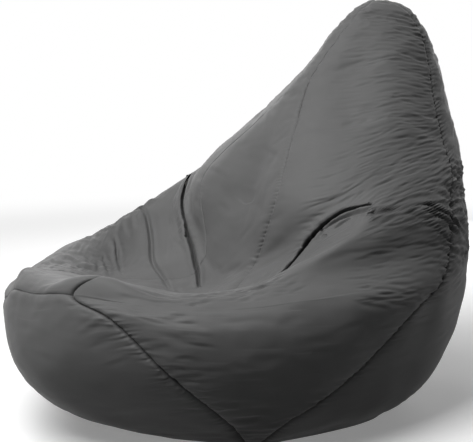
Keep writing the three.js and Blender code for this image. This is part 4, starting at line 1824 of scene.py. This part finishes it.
@dataclass(frozen=True)
class Studio:
    """The camera, the lamps, the floor and the world around the chair."""

    azimuth: float = 52.0
    elevation: float = 10.0
    distance: float = 3.2
    lens: float = 112.6
    aim: tuple[float, float, float] = (-0.0032, -0.0232, 0.409)
    floor_size: float = 60.0
    shadow_radius: float = 3.0
    floor_bounce: str = "#262626"
    floor_lift: float = 0.22
    floor_paint: str = "#f4f4f4"
    world_light: float = 0.03
    lamps: tuple[SoftBox, ...] = (
        SoftBox("key_box", -1.1, 2.5, 1.4, side=1.7, power=75.0),
        SoftBox("side_box", -2.2, 0.4, 1.0, side=1.0, power=7.0),
        SoftBox("top_box", -0.4, 2.6, 0.4, side=1.6, power=22.0),
        SoftBox("back_box", -0.8, 1.2, -1.9, side=1.3, power=8.0),
        SoftBox("rear_box", 0.7, 0.7, -2.3, side=1.1, power=17.0),
    )

    def direction(self) -> Vector:
        """The direction from the chair to the camera."""
        azimuth = math.radians(self.azimuth)
        elevation = math.radians(self.elevation)
        flat = math.cos(elevation)
        return Vector((math.sin(azimuth) * flat, -math.cos(azimuth) * flat, math.sin(elevation)))

    def build(self) -> None:
        """Sets up everything around the chair."""
        self._camera()
        self._floor()
        self._world()
        self._lamps()
        bpy.context.scene.view_settings.view_transform = "Standard"

    def _camera(self) -> None:
        """Places the camera."""
        data = bpy.data.cameras.new("camera")
        data.lens = self.lens
        data.sensor_width = 36.0
        camera = bpy.data.objects.new("camera", data)
        bpy.context.scene.collection.objects.link(camera)
        camera.location = Vector(self.aim) + self.direction() * self.distance
        camera.rotation_euler = (-self.direction()).to_track_quat("-Z", "Y").to_euler()
        bpy.context.scene.camera = camera

    def _floor(self) -> None:
        """Lays a wide pale floor that shows the chair's shadow near by and fades to white."""
        half = self.floor_size / 2
        points = np.array([(-half, -half, 0), (half, -half, 0), (half, half, 0), (-half, half, 0)])
        floor = new_object("studio_floor", points, [(0, 1, 2, 3)])
        floor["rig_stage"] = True
        made = bpy.data.materials.new("studio_floor_matt_white_paint")
        made.use_nodes = True
        tree = made.node_tree
        seen = self._seen_directly(tree)
        place = add_node(tree, "ShaderNodeNewGeometry", {}, {}).outputs["Position"]
        away = add_node(tree, "ShaderNodeVectorMath", {"operation": "LENGTH"}, {0: place}).outputs["Value"]
        fade = add_node(
            tree, "ShaderNodeMapRange",
            {"interpolation_type": "SMOOTHSTEP", 1: self.shadow_radius / 2, 2: self.shadow_radius},
            {0: away},
        )
        bounce = add_node(tree, "ShaderNodeBsdfDiffuse", {"Color": linear(self.floor_bounce)}, {})
        paint = add_node(tree, "ShaderNodeBsdfDiffuse", {"Color": linear(self.floor_paint)}, {})
        lift = add_node(tree, "ShaderNodeEmission", {"Strength": self.floor_lift}, {})
        white = add_node(tree, "ShaderNodeEmission", {"Strength": 1.0}, {})
        lit = add_node(tree, "ShaderNodeAddShader", {}, {0: paint.outputs[0], 1: lift.outputs[0]})
        near = add_node(
            tree, "ShaderNodeMixShader", {}, {0: fade.outputs[0], 1: lit.outputs[0], 2: white.outputs[0]}
        )
        all_rays = add_node(
            tree, "ShaderNodeMixShader", {}, {0: seen, 1: bounce.outputs[0], 2: near.outputs[0]}
        )
        tree.links.new(all_rays.outputs[0], tree.nodes["Material Output"].inputs["Surface"])
        floor.data.materials.append(made)

    def _seen_directly(self, tree: bpy.types.NodeTree) -> bpy.types.NodeSocket:
        """Tells the eye's rays, straight or by way of a shine, from the light that bounces about.

        Args:
            tree: the node tree to add to.

        Returns:
            A socket that is 1 for the eye's rays and 0 for the rest.
        """
        rays = add_node(tree, "ShaderNodeLightPath", {}, {})
        seen = rays.outputs["Is Camera Ray"]
        for kind in ("Is Glossy Ray", "Is Transmission Ray"):
            seen = add_node(
                tree, "ShaderNodeMath", {"operation": "MAXIMUM"}, {0: seen, 1: rays.outputs[kind]}
            ).outputs[0]
        return seen

    def _world(self) -> None:
        """Gives white to the eye and a dim even light to the chair."""
        world = bpy.data.worlds.new("studio_world")
        bpy.context.scene.world = world
        world.use_nodes = True
        tree = world.node_tree
        lit = tree.nodes["Background"]
        lit.inputs["Strength"].default_value = self.world_light
        white = add_node(tree, "ShaderNodeBackground", {"Strength": 1.0, "Color": (1, 1, 1, 1)}, {})
        mix = add_node(
            tree, "ShaderNodeMixShader", {},
            {0: self._seen_directly(tree), 1: lit.outputs[0], 2: white.outputs[0]},
        )
        lit.inputs["Color"].default_value = (1, 1, 1, 1)
        tree.links.new(mix.outputs[0], tree.nodes["World Output"].inputs["Surface"])

    def _lamps(self) -> None:
        """Hangs the soft boxes round the chair."""
        forward = self.direction()
        forward.z = 0
        forward.normalize()
        right = Vector((-forward.y, forward.x, 0))
        for box in self.lamps:
            data = bpy.data.lights.new(box.name, "AREA")
            data.size = box.side
            data.energy = box.power
            lamp = bpy.data.objects.new(box.name, data)
            bpy.context.scene.collection.objects.link(lamp)
            lamp.location = right * box.right + Vector((0, 0, box.up)) + forward * box.forward
            lamp.rotation_euler = (Vector(self.aim) - lamp.location).to_track_quat("-Z", "Y").to_euler()


# ---- The whole chair ----


@dataclass(frozen=True)
class Wardrobe:
    """Which finish each piece gets."""

    finishes: tuple[tuple[str, Finish], ...] = (
        ("cover_cloth", SatinPolyester()),
        # Spun threads, so it is matt and flat beside the satin cover.
        ("base_cloth", GrainedFinish(
            "plain_woven_polyester_dyed_dark_grey", "#4a4a4b", "#3e3e3f", 0.75, grain=1.2, relief=0.1)),
        # A close ribbed tape that takes no highlight at all.
        ("zip_tape", GrainedFinish(
            "zip_tape_woven_polyester_twill", "#4c4c4d", "#404041", 0.8, grain=0.8, relief=0.1)),
        # Smooth plastic wire: each loop catches its own small highlight.
        ("zip_coil", GrainedFinish(
            "polyester_monofilament_extruded", "#454546", "#3f3f40", 0.35, grain=2.0, relief=0.01)),
        # Enamel over a casting: a soft even gloss, and no bare metal shows.
        ("zip_metal", GrainedFinish(
            "zinc_alloy_die_cast_and_stove_enamelled", "#4b4b4d", "#454547", 0.4, grain=1.5, relief=0.01)),
        # Fibres pressed flat by a hot roller: off-white, dull, faintly mottled.
        ("liner_cloth", GrainedFinish(
            "spunbond_polypropylene_calendered", "#efece4", "#e2dfd6", 0.7, grain=1.5, relief=0.1)),
        # Dense hooks and loops, which read as a rough pile without a shine.
        ("touch_tape", GrainedFinish(
            "hook_and_loop_tape_woven_nylon", "#e8e6df", "#d2d0c8", 0.85, grain=0.9, relief=0.3)),
        # A white mass of round beads, with small soft painted shade between them: the grain's darker tone,
        # in its low spots.
        ("bead_fill", GrainedFinish(
            "expanded_polystyrene_beads_steam_blown", "#f6f6f4", "#d9d9d6", 0.6, grain=4.0, relief=1.0)),
    )
    # The slot of each CAD node that is shown as it is, by how its name starts.
    cad_slots: tuple[tuple[str, str], ...] = (
        ("zip_tape", "zip_tape"),
        ("zip_top", "zip_metal"),
        ("zip_bottom", "zip_metal"),
        ("liner", "touch_tape"),
    )

    def dress(self) -> None:
        """Gives every shown piece its slot's material."""
        made = {slot: finish.material() for slot, finish in self.finishes}
        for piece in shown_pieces():
            slot = piece.get("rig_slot") or self._slot_of(piece)
            piece.data.materials.clear()
            piece.data.materials.append(made[slot])

    def _slot_of(self, piece: bpy.types.Object) -> str:
        """The slot of a CAD node that is shown as it is."""
        return next(slot for start, slot in self.cad_slots if piece.name.startswith(start))


def main() -> None:
    """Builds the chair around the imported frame."""
    logging.basicConfig(level=logging.INFO, format="%(name)s: %(message)s")
    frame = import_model()
    Studio().build()
    shift = frame["joints"][0]["pos_m"][1] - ZIP_ARC.centre_y * MM
    spacing = GridSpacing()
    grid = CoverGrid(BagShape(shift), spacing.columns(), spacing.rows())
    LOG.info("grid of %d rows and %d columns", *grid.shape)
    free_to_fold = FlatStrip().share_outside(grid)
    relief = Relief(grid, np.random.default_rng(SEED))
    relief.height += CoverCloth().heights(grid)
    CoverFolds().press_into(relief)
    relief.calm(free_to_fold)
    Liner().build(relief)
    BeadFilling().build(relief)
    relief.apply()
    cover = Cover()
    for panel in (*cover.build(grid), cover.build_base(grid)):
        LOG.info("%s: %d faces", panel.name, len(panel.data.polygons))
    zipper = Zip()
    zipper.build_coils(shift)
    zipper.build_slider(frame["nodes"]["zip_slider"])
    StitchRows().build(grid)
    Wardrobe().dress()


if __name__ == "__main__":
    main()
